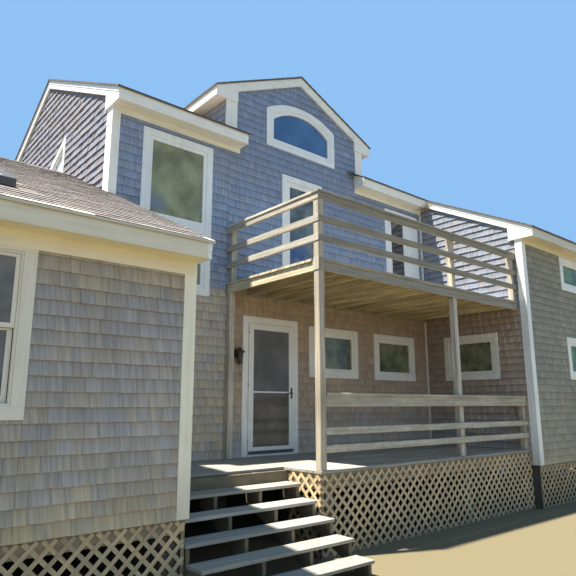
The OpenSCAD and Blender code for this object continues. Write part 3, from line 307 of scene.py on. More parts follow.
def completed(material, colour, roughness=None, height=None, distance=0.001, strength=0.7):
    """The material with its shader fed; height, distance and strength are those of its bumps."""
    tree = material.node_tree
    inputs = tree.nodes["Principled BSDF"].inputs
    tree.links.new(colour, inputs["Base Color"])
    if roughness:
        tree.links.new(roughness, inputs["Roughness"])
    if height:
        bump = put(tree, "ShaderNodeBump", {"Height": height, "Distance": distance, "Strength": strength})
        tree.links.new(bump.outputs[0], inputs["Normal"])
    return material


# Materials

def shingle_finish(name, open_colour):
    """Weathered cedar: every shingle has its own tone; sheltered ones are brown, low ones tan."""
    s = bpy.context.scene.beach_house_siding
    material, tree = blank(name, 0.86)
    bright, warm, brown, tan = tones(tree)
    fibre, streak = wood_grain(tree, 1.0)
    blotch, _ = weathering(tree, 0.9)
    # For the weathered walls, the open colour's blue is partly painted sky shade; warm mixes in the plain grey
    colour = blended(tree, warm, getattr(s, open_colour), s.plain)
    colour = blended(tree, brown, colour, s.brown)
    colour = blended(tree, tan, colour, s.tan)
    parts = [ranged(tree, bright, -0.5, 2.5, dim, full) for dim, full in ((0.50, 2.00), (0.50, 2.00), (0.53, 1.93))]
    level = put(tree, "ShaderNodeCombineColor", dict(enumerate(parts))).outputs[0]
    colour = blended(tree, 1.0, colour, level, "MULTIPLY")
    colour = blended(tree, reckon(tree, "MULTIPLY", streak, 0.40), colour, (0.045, 0.042, 0.040))
    colour = stained(tree, colour, fibre, 0.22, (0.36, 0.36, 0.36))
    colour = stained(tree, colour, blotch, 0.22, (0.13, 0.125, 0.11))
    return completed(material, colour, ranged(tree, streak, 0, 1, 0.78, 0.95), fibre, 0.0012)


def sheathing_finish():
    """Building paper and rough boards behind the shingles and inside the rooms."""
    material, tree = blank("rough_sheathing", 0.9)
    grain = noise(tree, moved(tree, "MULTIPLY", place_in_object(tree), (3.0, 3.0, 22.0)), 2.0, 5.0)
    colour = blended(tree, grain, (0.055, 0.046, 0.038), (0.125, 0.105, 0.085))
    return completed(material, colour, height=grain)


def roofing_finish():
    """Mineral roofing: light and dark granules mixed tab by tab, with worn patches."""
    s = bpy.context.scene.beach_house_roof
    material, tree = blank("mineral_roofing", 0.93)
    bright, warm, _, pale = tones(tree)
    place = place_in_object(tree)
    coarse, fine = noise(tree, place, 21.0, 3.0, 0.75), noise(tree, place, 210.0, 2.0, 0.7)
    blotch, _ = weathering(tree, 0.7)
    amount = reckon(tree, "ADD", ranged(tree, coarse, 0.38, 0.62, 0.0, 0.75), ranged(tree, fine, 0.35, 0.65, 0.0, 0.5))
    amount = reckon(tree, "MULTIPLY", amount, ranged(tree, bright, 0, 1, 0.16, 1.25))
    colour = blended(tree, amount, s.dark, s.light)
    colour = stained(tree, colour, warm, 0.35, (0.20, 0.15, 0.115))
    colour = stained(tree, colour, blotch, 0.25, (0.07, 0.068, 0.06))
    # Painted light: the first course and the underlay's edge at the wing's eave take this pale colour, as a sunlit edge
    # would show
    colour = blended(tree, pale, colour, (0.63, 0.59, 0.46))
    return completed(material, colour, height=fine, distance=0.0015, strength=0.6)


def paint_finish():
    """White house paint on boards: faint brush lines, dirt where water runs and near the ground, and a rust stain."""
    s = bpy.context.scene.beach_house_trim
    material, tree = blank("white_house_paint", 0.48)
    bright, cool, cream, dirt = tones(tree)
    fibre, streak = wood_grain(tree, 0.8)
    blotch, low = weathering(tree, 2.3, SIDING_FOOT, 0.55)
    # The second tone mixes in the cool paint, partly painted sky light, most on window and door frames
    colour = blended(tree, cool, s.paint, s.cool_paint)
    # Painted warm bounce light from the sunlit ground, mixed in by the third tone
    colour = blended(tree, cream, colour, s.cream)
    colour = blended(tree, dirt, colour, s.grime)
    colour = stained(tree, colour, bright, 0.12, (0.55, 0.54, 0.50))
    runs = reckon(tree, "MULTIPLY", blotch, streak)
    colour = stained(tree, colour, runs, 0.34, s.grime)
    colour = stained(tree, colour, low, 0.45, s.grime)
    place = place_in_object(tree)
    away = put(tree, "ShaderNodeVectorMath", {0: place, 1: tuple(RUSTY_CORNER + PLAN_SHIFT)},
               operation="DISTANCE").outputs["Value"]
    uneven = ranged(tree, noise(tree, place, 14.0, 3.0), 0.3, 0.7, -0.06, 0.06)
    rusty = ranged(tree, reckon(tree, "ADD", away, uneven), 0.23, 0.10, 0.0, 0.92)
    colour = blended(tree, rusty, colour, (0.20, 0.085, 0.032))
    return completed(material, colour, ranged(tree, runs, 0, 1, 0.42, 0.75), fibre, 0.0004, 0.5)


def plank_finish(name, colour_name, growth):
    """Bare weathered wood, board by board, with growth on it."""
    s = bpy.context.scene.beach_house_deck
    material, tree = blank(name, 0.85)
    bright, warm, damp, _ = tones(tree)
    fibre, streak = wood_grain(tree, 0.9)
    blotch, low = weathering(tree, 7.0, 0.0, 0.35)
    base = getattr(s, colour_name)
    colour = blended(tree, warm, base, [part * factor for part, factor in zip(base, (1.12, 1.0, 0.84))])
    colour = blended(tree, ranged(tree, bright, 0, 1, 0.35, 0.0), colour, (0.06, 0.055, 0.05))
    colour = stained(tree, colour, streak, 0.55, (0.05, 0.046, 0.042))
    colour = stained(tree, colour, fibre, 0.20, (0.42, 0.39, 0.32))
    # The third tone mixes in the dark brown of wood behind and below, partly painted shade
    colour = blended(tree, damp, colour, s.damp)
    colour = stained(tree, colour, blotch, growth, s.lichen)
    colour = stained(tree, colour, low, 0.4, (0.07, 0.065, 0.045))
    return completed(material, colour, height=fibre, distance=0.0016)


def glass_finish(name, dark, light, clear, patch=1.2, mirror=0.5, sky=None, sky_reflection_below=None):
    """Window glass: painted reflections as soft darker and lighter patches, some of them sky, and a faint film of salt.
    """
    polish = 0.03
    material, tree = blank(name, polish, Transmission_Weight=clear, IOR=1.5, Specular_IOR_Level=mirror)
    place = place_in_object(tree)
    colour = blended(tree, ranged(tree, noise(tree, place, patch, 3.0, 0.6), 0.38, 0.64), dark, light)
    if sky:
        patches = noise(tree, moved(tree, "ADD", place, (4.3, 0.0, 2.1)), patch * 0.9, 2.0)
        fading = ranged(tree, height_of(tree, place), sky_reflection_below, sky_reflection_below - 0.5)
        colour = blended(tree, reckon(tree, "MULTIPLY", ranged(tree, patches, 0.46, 0.56), fading), colour, sky)
    return completed(material, colour, ranged(tree, noise(tree, place, 9.0, 4.0), 0.3, 0.8, polish, polish + 0.05))


def metal_finish(name, colour, roughness, metallic):
    """Painted or bare metal with a fine texture and worn patches."""
    material, tree = blank(name, roughness, Metallic=metallic)
    grit = noise(tree, place_in_object(tree), 90.0, 3.0)
    worn = blended(tree, ranged(tree, grit, 0.45, 0.75), colour, [min(1, part * 1.9 + 0.03) for part in colour])
    return completed(material, worn, ranged(tree, grit, 0.3, 0.7, roughness - 0.08, roughness + 0.12),
                     grit, 0.0003, 0.4)


def floor_finish():
    material, tree = blank("plain_floor", 0.9)
    base = bpy.context.scene.beach_house_stage.floor
    cloud = noise(tree, place_in_object(tree), 0.3, 2.0)
    return completed(material, blended(tree, cloud, base, [part * 1.04 for part in base]))


FINISHES = {
    "shingle": (shingle_finish, "weathered_cedar", "weathered"),
    "mossy_shingle": (shingle_finish, "mossy_cedar", "mossy"),
    "sheathing": (sheathing_finish,),
    "roofing": (roofing_finish,),
    "paint": (paint_finish,),
    "plank": (plank_finish, "weathered_planks", "wood", 0.25),
    "rail": (plank_finish, "weathered_rails", "rail_wood", 0.25),
    "mossy_rail": (plank_finish, "mossy_rails", "post_wood", 0.70),
    "post": (plank_finish, "weathered_posts", "post_wood", 0.2),
    "ceiling": (plank_finish, "sheltered_wood", "ceiling", 0.15),
    "lattice": (plank_finish, "weathered_lattice", "lattice", 0.25),
    # The glass colours are painted reflections of trees and sky, and of the dark rooms behind the panes
    "glass": (glass_finish, "window_glass", (0.11, 0.115, 0.080), (0.31, 0.34, 0.19), 0.3, 3.0, 0.4),
    "olive_glass": (glass_finish, "olive_window_glass", (0.19, 0.20, 0.10), (0.40, 0.42, 0.23), 0.2, 1.7, 0.4,
                    (0.15, 0.25, 0.48), 5.1),
    "blue_glass": (glass_finish, "blue_window_glass", (0.06, 0.15, 0.33), (0.10, 0.22, 0.46), 0.25),
    "pale_glass": (glass_finish, "pale_window_glass", (0.48, 0.53, 0.56), (0.66, 0.70, 0.72), 0.15),
    "grey_glass": (glass_finish, "grey_window_glass", (0.075, 0.082, 0.078), (0.20, 0.195, 0.185), 0.15, 2.0, 0.3),
    "green_glass": (glass_finish, "green_window_glass", (0.035, 0.070, 0.025), (0.17, 0.27, 0.09), 0.2, 3.5, 0.3),
    "dark_glass": (glass_finish, "dark_window_glass", (0.030, 0.032, 0.034), (0.085, 0.088, 0.090), 0.2, 2.5),
    "deck_glass": (glass_finish, "deck_door_glass", (0.085, 0.115, 0.120), (0.24, 0.28, 0.28), 0.2, 1.9, 0.4,
                   (0.07, 0.12, 0.28), 5.0),
    "door_glass": (glass_finish, "storm_door_glass_dark", (0.135, 0.118, 0.092), (0.21, 0.185, 0.15), 0.15, 1.6, 0.2),
    "metal": (metal_finish, "dark_hardware", (0.022, 0.022, 0.024), 0.42, 0.4),
    # A black for the painted shadow of the threshold under the storm door
    "rubber": (metal_finish, "black_rubber", (0.045, 0.050, 0.052), 0.6, 0.0),
    "pale_metal": (metal_finish, "white_enamel", (0.62, 0.63, 0.60), 0.35, 0.0),
    "lantern_metal": (metal_finish, "aged_bronze", (0.060, 0.048, 0.034), 0.5, 0.5),
    "kerb": (metal_finish, "brown_enamel", (0.060, 0.050, 0.044), 0.38, 0.3),
    "floor": (floor_finish,),
}
MADE = {}


def finish(name):
    """The material of that name, made on its first use."""
    if name not in MADE:
        maker, *details = FINISHES[name]
        MADE[name] = maker(*details)
    return MADE[name]


# Mesh helpers

GRAIN_ROOM = 30.0  # how far a board's fibres may be shifted, so that no two boards look alike


def seeded(*words):
    """A random source that depends only on its words."""
    return random.Random("|".join(str(w) for w in words))


def clamped(value):
    return min(1.0, max(0.0, value))


def grain_shift(pick):
    return pick.uniform(0, GRAIN_ROOM), pick.uniform(0, GRAIN_ROOM)


def added_to_scene(name, data):
    piece = bpy.data.objects.new(name, data)
    bpy.context.scene.collection.objects.link(piece)
    return piece


def show(bm, name, material, replaced=(), body="house", in_plan=True):
    """Makes the finished piece; one that is in the plan is moved to the part's frame."""
    if not bm.faces:
        raise RuntimeError(f"{name} came out empty")
    if in_plan:
        bmesh.ops.translate(bm, vec=PLAN_SHIFT, verts=bm.verts)
    mesh = bpy.data.meshes.new(name)
    bm.to_mesh(mesh)
    bm.free()
    mesh.materials.append(finish(material))
    mesh.shade_flat()
    piece = added_to_scene(name, mesh)
    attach(piece, body)
    if replaced:
        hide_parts(*replaced)
    return piece


def add_box(bm, low, high):
    """A board between two corners."""
    low, high = Vector(low), Vector(high)
    bmesh.ops.create_cube(bm, size=1.0, matrix=Matrix.LocRotScale((low + high) / 2, None, high - low))


class Pile:
    """Many like blocks gathered row by row in one mesh, each with its own grain and tone."""

    def __init__(self):
        self.whole, self.row = bmesh.new(), bmesh.new()
        self.grain = self.row.loops.layers.uv.new("grain")
        self.tone = self.row.loops.layers.float_color.new("tone")
        self.sheet = bpy.data.meshes.new("row")

    def block(self, corner, grain, tone, shift, butt=None):
        """corner(right, back, up) gives the place of each corner; grain is the axis that the fibres follow.

        tone is four numbers, or a rule that gives them for a corner that is up or down; butt is the tone
        of the front end, if it has one of its own.
        """
        made = bmesh.ops.create_cube(self.row, size=2.0)["verts"]
        is_up = {vert: vert.co.z > 0 for vert in made}
        is_front = {vert: vert.co.y < 0 for vert in made}
        for vert in made:
            vert.co = corner(vert.co.x > 0, vert.co.y > 0, is_up[vert])
        a, b = [axis for axis in range(3) if axis != grain]
        for face in {face for vert in made for face in vert.link_faces}:
            own = butt if butt and all(is_front[vert] for vert in face.verts) else tone
            for loop in face.loops:
                co = loop.vert.co
                loop[self.grain].uv = (co[grain] + shift[0], co[a] + co[b] + shift[1])
                loop[self.tone] = own(is_up[loop.vert]) if callable(own) else own

    def end_row(self):
        bmesh.ops.recalc_face_normals(self.row, faces=self.row.faces)
        self.row.to_mesh(self.sheet)
        self.whole.from_mesh(self.sheet)
        bmesh.ops.delete(self.row, geom=self.row.verts, context="VERTS")

    def show(self, name, material, slot):
        self.row.free()
        bpy.data.meshes.remove(self.sheet)
        show(self.whole, name, material)


def islands(bm):
    """The separate bodies of a mesh, as lists of faces, in the order of their places."""
    left, found = set(bm.faces), []
    while left:
        edge_of_search, body = [left.pop()], []
        while edge_of_search:
            face = edge_of_search.pop()
            body.append(face)
            for edge in face.edges:
                for other in edge.link_faces:
                    if other in left:
                        left.discard(other)
                        edge_of_search.append(other)
        found.append(body)
    return sorted(found, key=lambda faces: [round(v, 4) for v in min(f.calc_center_median()[:] for f in faces)])


def corners_of(faces):
    return [vert.co for face in faces for vert in face.verts]


def middle_in_plan(faces):
    places = corners_of(faces)
    return sum(places, Vector()) / len(places) - PLAN_SHIFT


def grain_and_tone(bm, name, warm=0.5, cream=0.0, dirt=0.0):
    """Gives every board the direction of its fibres, a shift and a tone of its own.

    The third tone, painted light (warm bounce light on paint, dark brown on bare wood), and dirt are numbers, or rules
    that give one for a board's middle in the plan.
    """
    uv, tone = bm.loops.layers.uv.new("grain"), bm.loops.layers.float_color.new("tone")
    pick = seeded(name)
    for faces in islands(bm):
        places = corners_of(faces)
        spans = [max(p[i] for p in places) - min(p[i] for p in places) for i in range(3)]
        grain = spans.index(max(spans))
        a, b = [axis for axis in range(3) if axis != grain]
        middle = middle_in_plan(faces)
        own = (pick.random(), clamped(warm + pick.uniform(-0.3, 0.3)),
               *(share(middle) if callable(share) else share for share in (cream, dirt)))
        shift = grain_shift(pick)
        for face in faces:
            for loop in face.loops:
                co = loop.vert.co
                loop[uv].uv = (co[grain] + shift[0], co[a] + co[b] + shift[1])
                loop[tone] = own


def ease_edges(bm, width):
    """Takes the sharp edge off every board."""
    sharp = [edge for edge in bm.edges if edge.is_manifold and edge.calc_face_angle(0.0) > 0.6]
    bmesh.ops.bevel(bm, geom=sharp, offset=width, offset_type="OFFSET", segments=1, profile=0.5,
                    affect="EDGES", material=-1, clamp_overlap=True)


def copy_of(node):
    """A merged copy of a CAD node's mesh, which is in the part's frame already."""
    bm = bmesh.new()
    bm.from_mesh(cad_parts[node].data)
    bmesh.ops.remove_doubles(bm, verts=bm.verts, dist=1e-5)
    return bm


def keep_bodies(bm, belongs):
    """Leaves only the separate bodies whose middle, in the plan, the rule takes."""
    for faces in islands(bm):
        if not belongs(middle_in_plan(faces)):
            bmesh.ops.delete(bm, geom=faces, context="FACES")
    bmesh.ops.delete(bm, geom=[vert for vert in bm.verts if not vert.link_faces], context="VERTS")


def dressed(name, node, material, slot, eased, body="house", warm=0.5, cream=0.0, dirt=0.0, keep=None):
    """A copy of a CAD node with eased edges, grain and tones, which stands for the node."""
    bm = copy_of(node)
    if keep:
        keep_bodies(bm, keep)
    bmesh.ops.dissolve_limit(bm, angle_limit=0.02, verts=bm.verts, edges=bm.edges, use_dissolve_boundaries=False)
    ease_edges(bm, eased)
    grain_and_tone(bm, name, warm, cream, dirt)
    return show(bm, name, material, (node,), body, in_plan=False)


def painted(name, node, **more):
    dressed(name, node, "paint", "white_trim", bpy.context.scene.beach_house_trim.eased, **more)


def weathered(name, node, material, eased, **more):
    return dressed(name, node, material, "deck_wood", eased, **more)


def panes(node, shares):
    """Copies of a CAD node's panes, shared out by place among pieces of different glass; the first replaces it."""
    replaced = (node,)
    for name, (material, belongs) in shares.items():
        bm = copy_of(node)
        keep_bodies(bm, belongs)
        show(bm, name, material, replaced, in_plan=False)
        replaced = ()


def paint_node(node, material):
    """Gives a CAD node that stays a better material."""
    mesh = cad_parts[node].data
    mesh.materials.clear()
    mesh.materials.append(finish(material))


# Shingled walls

TRIM_COVER = 0.02  # how far corner boards and friezes lap over the shingles
SLIVER = 0.006  # no shingle is lower than this
SOME = 0.02  # below this share, a wall has none of a tone at all


class Wall:
    """A flat outer wall that runs along one axis, with its face at a place and its outside to one side."""

    def __init__(self, along, face, out):
        self.along, self.face, self.out = along, face, out

    def place(self, along, proud, z):
        across = self.face + self.out * proud
        return Vector((along, across, z)) if self.along == "x" else Vector((across, along, z))


def lay_shingles(pile, wall, ends, foot, head, seed, shade, holes=(), roofline=None, footline=None, curl=0.0):
    """Courses of tapered shingles from foot to head, kept out of the holes and between the foot and roof lines.

    A hole is its left, right, bottom and top; the top may be a rule, for arches and slopes. The last option says how
    far the sun has lifted the shingles' lower edges, and how strong the painted light and shade at each course line
    are.
    """
    s = bpy.context.scene.beach_house_siding
    cover, hidden, hidden_by_curve, narrow_by_curve = 0.012, 0.008, 0.05, 0.11
    pick = seeded("shingles", seed)

    def lay_one(left, right, z0, z1, course_low):
        """A shingle between two joints: thick at its butt, thin under the next course."""
        joint = s.joint * pick.uniform(0.4, 1.5) / 2
        drop = pick.uniform(-0.0025, 0.0025) if z0 == course_low else 0.0
        butt = s.butt * (pick.uniform(0.86, 1.12) + curl * pick.uniform(0.0, 0.45))
        tilt = pick.uniform(-0.0012, 0.0012) * (1 + 1.5 * curl)
        sides = (left + joint, right - joint)
        lows = [max(z0 + drop, footline(side)) if footline else z0 + drop for side in sides]
        tops = [min(z1, roofline(side)) if roofline else z1 for side in sides]
        if max(tops[0] - lows[0], tops[1] - lows[1]) < SLIVER:
            return
        tops = [max(top, low + 0.001) for top, low in zip(tops, lows)]

        def corner(is_right, is_back, is_up):
            z = (tops if is_up else lows)[is_right]
            slope = clamped((z - course_low) / s.exposure)
            proud = 0.001 if is_back else butt + (tilt if is_right else -tilt) - (butt - 0.004) * slope
            return wall.place(sides[is_right], proud, z)

        warm, brown, tan, lift = shade((left + right) / 2, (z0 + z1) / 2)
        # Painted light and shade: the lift lightens shingles in shade under the upper deck and darkens those on sunlit
        # walls
        bright = clamped(pick.gauss(0.5, 0.115)) + lift
        hue = (clamped(warm + pick.uniform(-0.16, 0.16)), clamped(brown + pick.uniform(-0.18, 0.18) * (brown > SOME)),
               clamped(tan + pick.uniform(-0.25, 0.25) * (tan > SOME)))
        # Painted light at each butt and painted shade under the next course; the curl option makes both stronger
        painted_stripe = 0.26 + 0.40 * curl

        def toned(is_up):
            """Lighter at the butt and darker under the next course: painted light and painted shade."""
            return bright + (-painted_stripe if is_up else painted_stripe), *hue

        pile.block(corner, 2, toned, grain_shift(pick))

    def free_spans(middle, low, high):
        """The heights of a course that no hole takes at a place along the wall."""
        spans = [(low, high)]
        for left, right, bottom, top in holes:
            if left < middle < right:
                bottom, top = bottom + hidden, top(middle) - hidden_by_curve if callable(top) else top - hidden
                spans = [part for z0, z1 in spans for part in ((z0, min(z1, bottom)), (max(z0, top), z1))
                         if part[1] - part[0] > SLIVER]
        return spans

    start, stop = ends
    breaks = sorted({start, stop, *[edge for hole in holes for edge in (hole[0] + hidden, hole[1] - hidden)
                                    if start < edge < stop]})
    for course in range(math.ceil((head - foot) / s.exposure)):
        low = foot + course * s.exposure
        high = min(low + s.exposure + cover, head)
        for left, right in zip(breaks, breaks[1:]):
            middle = (left + right) / 2
            near_curve = any(callable(hole[3]) and hole[0] < middle < hole[1] for hole in holes)
            at = left
            while at < right - 0.001:
                width = pick.uniform(s.narrowest, min(s.widest, narrow_by_curve) if near_curve else s.widest)
                end = at + width if right - at - width > s.narrowest else right
                for z0, z1 in free_spans((at + end) / 2, low, high):
                    lay_one(at, end, z0, z1, low)
                at = end
        pile.end_row()


# Each shade gives how warm, brown, tan and how much lighter a shingle is at a place of its wall.
# The lightness is painted light and shade: lighter in the shade under the upper deck, darker on sunlit walls.

SHELTER_TOP = 3.65  # the walls are brown below it, under the upper deck


def near_ground(z, reach):
    """From one at the foot of the siding to nothing at a height above it."""
    return max(0.0, 1.0 - (z - SIDING_FOOT) / reach)


def open_wall_shade(along, z):
    return 0.5 + 0.3 * max(0.0, 1 - (z - 1) / 3), 0.0, 0.75 * near_ground(z, 0.35), -0.1


def gable_shade(along, z):
    # Painted shade: the sunlit left gable is made darker and browner
    return 0.15, 0.35, 0.0, -1.0


def wing_shade(along, z):
    under_eave = 0.35 * max(0.0, 1 - abs(WING_FRIEZE - z) / 0.35)
    return 0.85, 0.0, max(near_ground(z, 0.42), 0.35 * near_ground(z, 1.0), under_eave), 0.0


def front_shade(along, z):
    """Blue-grey above, partly painted sky shade; brown under the upper deck, where rain doesn't reach, and lighter
    there as painted light; grey-green low down.
    """
    if along < -0.02:
        if z < UNDER_DECK:
            return 0.85, 0.05, 0.1 + 0.3 * max(0.0, 1 - abs(z - 1.4) / 0.8), 0.6
        return 0.08, 0.0, 0.0, 0.0
    if z < SHELTER_TOP:
        return 0.8, 0.20 + 0.72 * clamped((z - 1.35) / 0.6), 0.1, 0.55
    return 0.05 if z < 6 else 0.0, 0.0, 0.0, 0.0 if z < 5.5 else -0.15


def side_shade(along, z):
    # Painted light and shade: lighter below, in the upper deck's shade, and darker above, where the sun falls
    if z < SHELTER_TOP:
        return 0.8, 0.15 + 0.6 * clamped((z - 1.4) / 0.7), 0.0, 0.35
    return 0.3, 0.1, 0.0, -0.6


def block_shade(along, z):
    return 0.55, 0.0, 0.9 * near_ground(z, 0.16) + 0.25 * near_ground(z, 1.5), -0.22


# Lines that shingles stop at

def arch_top(x):
    """The outer edge of the arched casing."""
    left, right, _, spring = ARCH_WINDOW
    half = (right - left) / 2
    radius = (half * half + ARCH_RISE * ARCH_RISE) / (2 * ARCH_RISE)
    across = x - (left + right) / 2
    return spring + ARCH_RISE - radius + math.sqrt(max(0.0, radius * radius - across * across))


def raked_top(y):
    return RAKED_WINDOW[2] - MAIN_PITCH * (y - RAKED_WINDOW[0])


def under_roof(top):
    """A gable wall's shingles go up behind the rake board, below the roof's top."""
    return lambda along: top(along) - ROOF_DEPTH + 0.06


def above_roof(top):
    return lambda along: top(along) - 0.01


def inside_corners(low, high):
    """From corner board to corner board, a little behind each."""
    return low + CORNER_BOARD - TRIM_COVER, high - CORNER_BOARD + TRIM_COVER


def siding_piece(name, *courses, material="shingle"):
    """One piece of shingles; each entry is what lay_shingles needs, with its options last."""
    pile = Pile()
    for *details, options in courses:
        lay_shingles(pile, *details, **options)
    pile.show(name, material, "wall_shingles")


def lay_front_siding():
    front = Wall("x", 0.0, -1)
    under_frieze, beside_gable, inner_corner = MAIN_FRIEZE + TRIM_COVER, GABLE_RIGHT - 0.10, DECK_RIGHT - INNER_STRIP
    siding_piece(
        "front_shingles",
        (front, (HOUSE_LEFT, -0.001), LOWER_DECK, under_frieze, "recess", front_shade, {"holes": [BIG_WINDOW]}),
        (front, (0.0, inner_corner), LOWER_DECK, UNDER_DECK, "porch", front_shade,
         {"holes": [HOUSE_DOOR, *PORCH_WINDOWS]}),
        (front, (0.0, beside_gable), UPPER_DECK, RIDGE, "gable", front_shade,
         {"holes": [DECK_DOOR, (*ARCH_WINDOW[:3], arch_top)], "roofline": under_roof(gable_top)}),
        (front, (beside_gable, inner_corner), UPPER_DECK, under_frieze, "upper", front_shade, {"holes": [SIDE_DOOR]}))


def lay_wing_siding():
    across, under_frieze = inside_corners(WING_LEFT, HOUSE_LEFT), WING_FRIEZE + TRIM_COVER
    gable = {"roofline": under_roof(wing_top)}
    siding_piece(
        "wing_shingles",
        (Wall("x", WING_FRONT, -1), across, SIDING_FOOT, under_frieze, "wing front", wing_shade,
         {"holes": [WING_WINDOW]}),
        (Wall("x", WING_BACK, 1), across, SIDING_FOOT, under_frieze, "wing back", wing_shade,
         {"holes": [WING_WINDOW]}),
        (Wall("y", WING_LEFT, -1), inside_corners(WING_FRONT, WING_BACK), SIDING_FOOT, WING_RIDGE, "wing left",
         wing_shade, {"holes": WING_LEFT_WINDOWS, **gable}),
        (Wall("y", HOUSE_LEFT, 1), (inside_corners(WING_FRONT, 0.0)[0], -0.015), SIDING_FOOT, WING_RIDGE,
         "wing right", wing_shade, gable))


def lay_side_siding():
    left_wall, below, above = Wall("y", HOUSE_LEFT, -1), under_roof(main_top), above_roof(main_top)
    start, low, high = RAKED_WINDOW
    raked = (start, start + (high - low) / MAIN_PITCH, low, raked_top)
    cheek = (0.0, 1.02), 6.50, GABLE_SOFFIT + 0.01
    siding_piece(
        "side_shingles",
        (left_wall, (UPPER_CORNER - TRIM_COVER, WING_BACK), SIDING_FOOT, RIDGE, "left gable", gable_shade,
         {"holes": [raked], "roofline": below, "footline": above_roof(wing_top), "curl": 1.0}),
        (left_wall, (WING_BACK, inside_corners(0.0, HOUSE_BACK)[1]), SIDING_FOOT, RIDGE, "left back", open_wall_shade,
         {"roofline": below}),
        (Wall("y", DECK_RIGHT, -1), (inside_corners(BLOCK_FRONT, 0.0)[0], -INNER_STRIP), SIDING_FOOT, RIDGE,
         "block side", side_shade, {"holes": [PORCH_SIDE_WINDOW], "roofline": below, "curl": 0.6}),
        (Wall("y", GABLE_LEFT, -1), *cheek, "cheek -1", open_wall_shade, {"footline": above}),
        (Wall("y", GABLE_RIGHT, 1), *cheek, "cheek 1", open_wall_shade, {"footline": above}))


def lay_far_siding():
    siding_piece(
        "right_block_shingles",
        (Wall("x", BLOCK_FRONT, -1), inside_corners(DECK_RIGHT, HOUSE_RIGHT), SIDING_FOOT, BLOCK_FRIEZE + TRIM_COVER,
         "block front", block_shade, {"holes": BLOCK_WINDOWS}),
        (Wall("y", HOUSE_RIGHT, 1), inside_corners(BLOCK_FRONT, HOUSE_BACK), SIDING_FOOT, RIDGE, "end",
         open_wall_shade, {"holes": END_WINDOWS, "roofline": under_roof(main_top)}),
        material="mossy_shingle")


def lay_back_siding():
    siding_piece(
        "back_shingles",
        (Wall("x", HOUSE_BACK, 1), inside_corners(HOUSE_LEFT, HOUSE_RIGHT), SIDING_FOOT, MAIN_FRIEZE + TRIM_COVER,
         "back", open_wall_shade, {"holes": BACK_WINDOWS}))


# Roofs

TAB_THICK = 0.005
INTO_WALL = 0.02  # how far tabs may reach behind what stands on the roof


def toned_tab(pick, middle, spread, pale=0.0):
    return clamped(pick.gauss(middle, spread)), pick.random(), 0.0, pale


def lay_slope(pile, span, eave, top, height, seed, run_axis="y", skip=None, painted_eave_light=0.0):
    """Courses of roofing tabs up a slope, from its eave to its top; height gives the roof's top surface."""
    s = bpy.context.scene.beach_house_roof
    # Butt ends of the tabs take a dark tone: painted shade under each course
    cover, gap, narrowest, painted_shade_butt = 0.02, 0.0015, 0.02, (0.0, 0.3, 0.0, 0.0)
    pick = seeded("roof", seed)
    direction = 1 if top > eave else -1
    pitch = abs(height(eave + direction * 0.1) - height(eave)) / 0.1
    step = s.exposure / math.sqrt(1 + pitch * pitch)
    for course in range(math.ceil(abs(top - eave) / step)):
        low = eave + direction * course * step
        high = eave + direction * min((course + 1) * step + cover, abs(top - eave))
        left, right = span(low) if callable(span) else span
        at = left - pick.uniform(0, s.tab)
        while at < right:
            width = s.tab * pick.uniform(0.5, 1.5)
            start, end = max(at, left), min(at + width, right)
            at += width
            if end - start < narrowest or (skip and skip(start, end, low, high)):
                continue
            lift = pick.choice((0.0, 0.0028))
            ragged = direction * pick.uniform(-0.003, 0.003) * (course > 0)
            sides = (start + gap if start > left else start, end - gap if end < right else end)

            def corner(is_right, is_back, is_up):
                along, sunk = (high, 0.010) if is_back else (low + ragged, 0.003 - lift)
                z = height(along) - sunk - (0.0 if is_up else TAB_THICK)
                return Vector((sides[is_right], along, z) if run_axis == "y" else (along, sides[is_right], z))

            # First-course tabs at the wing's eave take the pale tone: painted light
            pale = painted_eave_light * pick.choice((0.0, 0.2, 1.0)) if course == 0 else 0.0
            tone = toned_tab(pick, 0.8 if lift else 0.3, 0.15, pale)
            pile.block(corner, 1 if run_axis == "y" else 0, tone, grain_shift(pick), None if pale else painted_shade_butt)
        pile.end_row()


def lay_ridge(pile, start, stop, middle, pitch, along, seed, height=RIDGE):
    """Ridge caps folded over the top, one after another."""
    pick = seeded("ridge", seed)
    step, cover, reach, sunk = 0.145, 0.02, 0.14, 0.001
    for index in range(int((stop - start) / step) + 1):
        ends = start + index * step, min(start + (index + 1) * step + cover, stop)
        tone = toned_tab(pick, 0.5, 0.25)
        for side in (-1, 1):
            def corner(is_right, is_back, is_up):
                out = reach if is_back else 0.0
                z = height - sunk - pitch * out - (0.003 if is_right else 0.0) - (0.0 if is_up else TAB_THICK)
                across = middle + side * out
                return Vector((ends[is_right], across, z) if along == "x" else (across, ends[is_right], z))
            pile.block(corner, 0 if along == "x" else 1, tone, grain_shift(pick))
    pile.end_row()


def roof_underlay():
    """The roof's shingled layer from the source, lowered so that the tabs lie within its thickness."""
    bm = copy_of("roof_shingles")
    bmesh.ops.translate(bm, vec=Vector((0, 0, -0.009)), verts=bm.verts)
    grain_and_tone(bm, "underlay")
    tone = bm.loops.layers.float_color["tone"]
    for face in bm.faces:
        # Front faces of the underlay at the wing's eave take the pale tone: painted light
        at_wing_eave = face.normal.y < -0.5 and face.calc_center_median().z < LOW_ROOF
        for loop in face.loops:
            loop[tone] = (0.1, 1.0, 0.0, 0.85 if at_wing_eave else 0.0)
    show(bm, "roof_underlay", "roofing", ("roof_shingles",), in_plan=False)


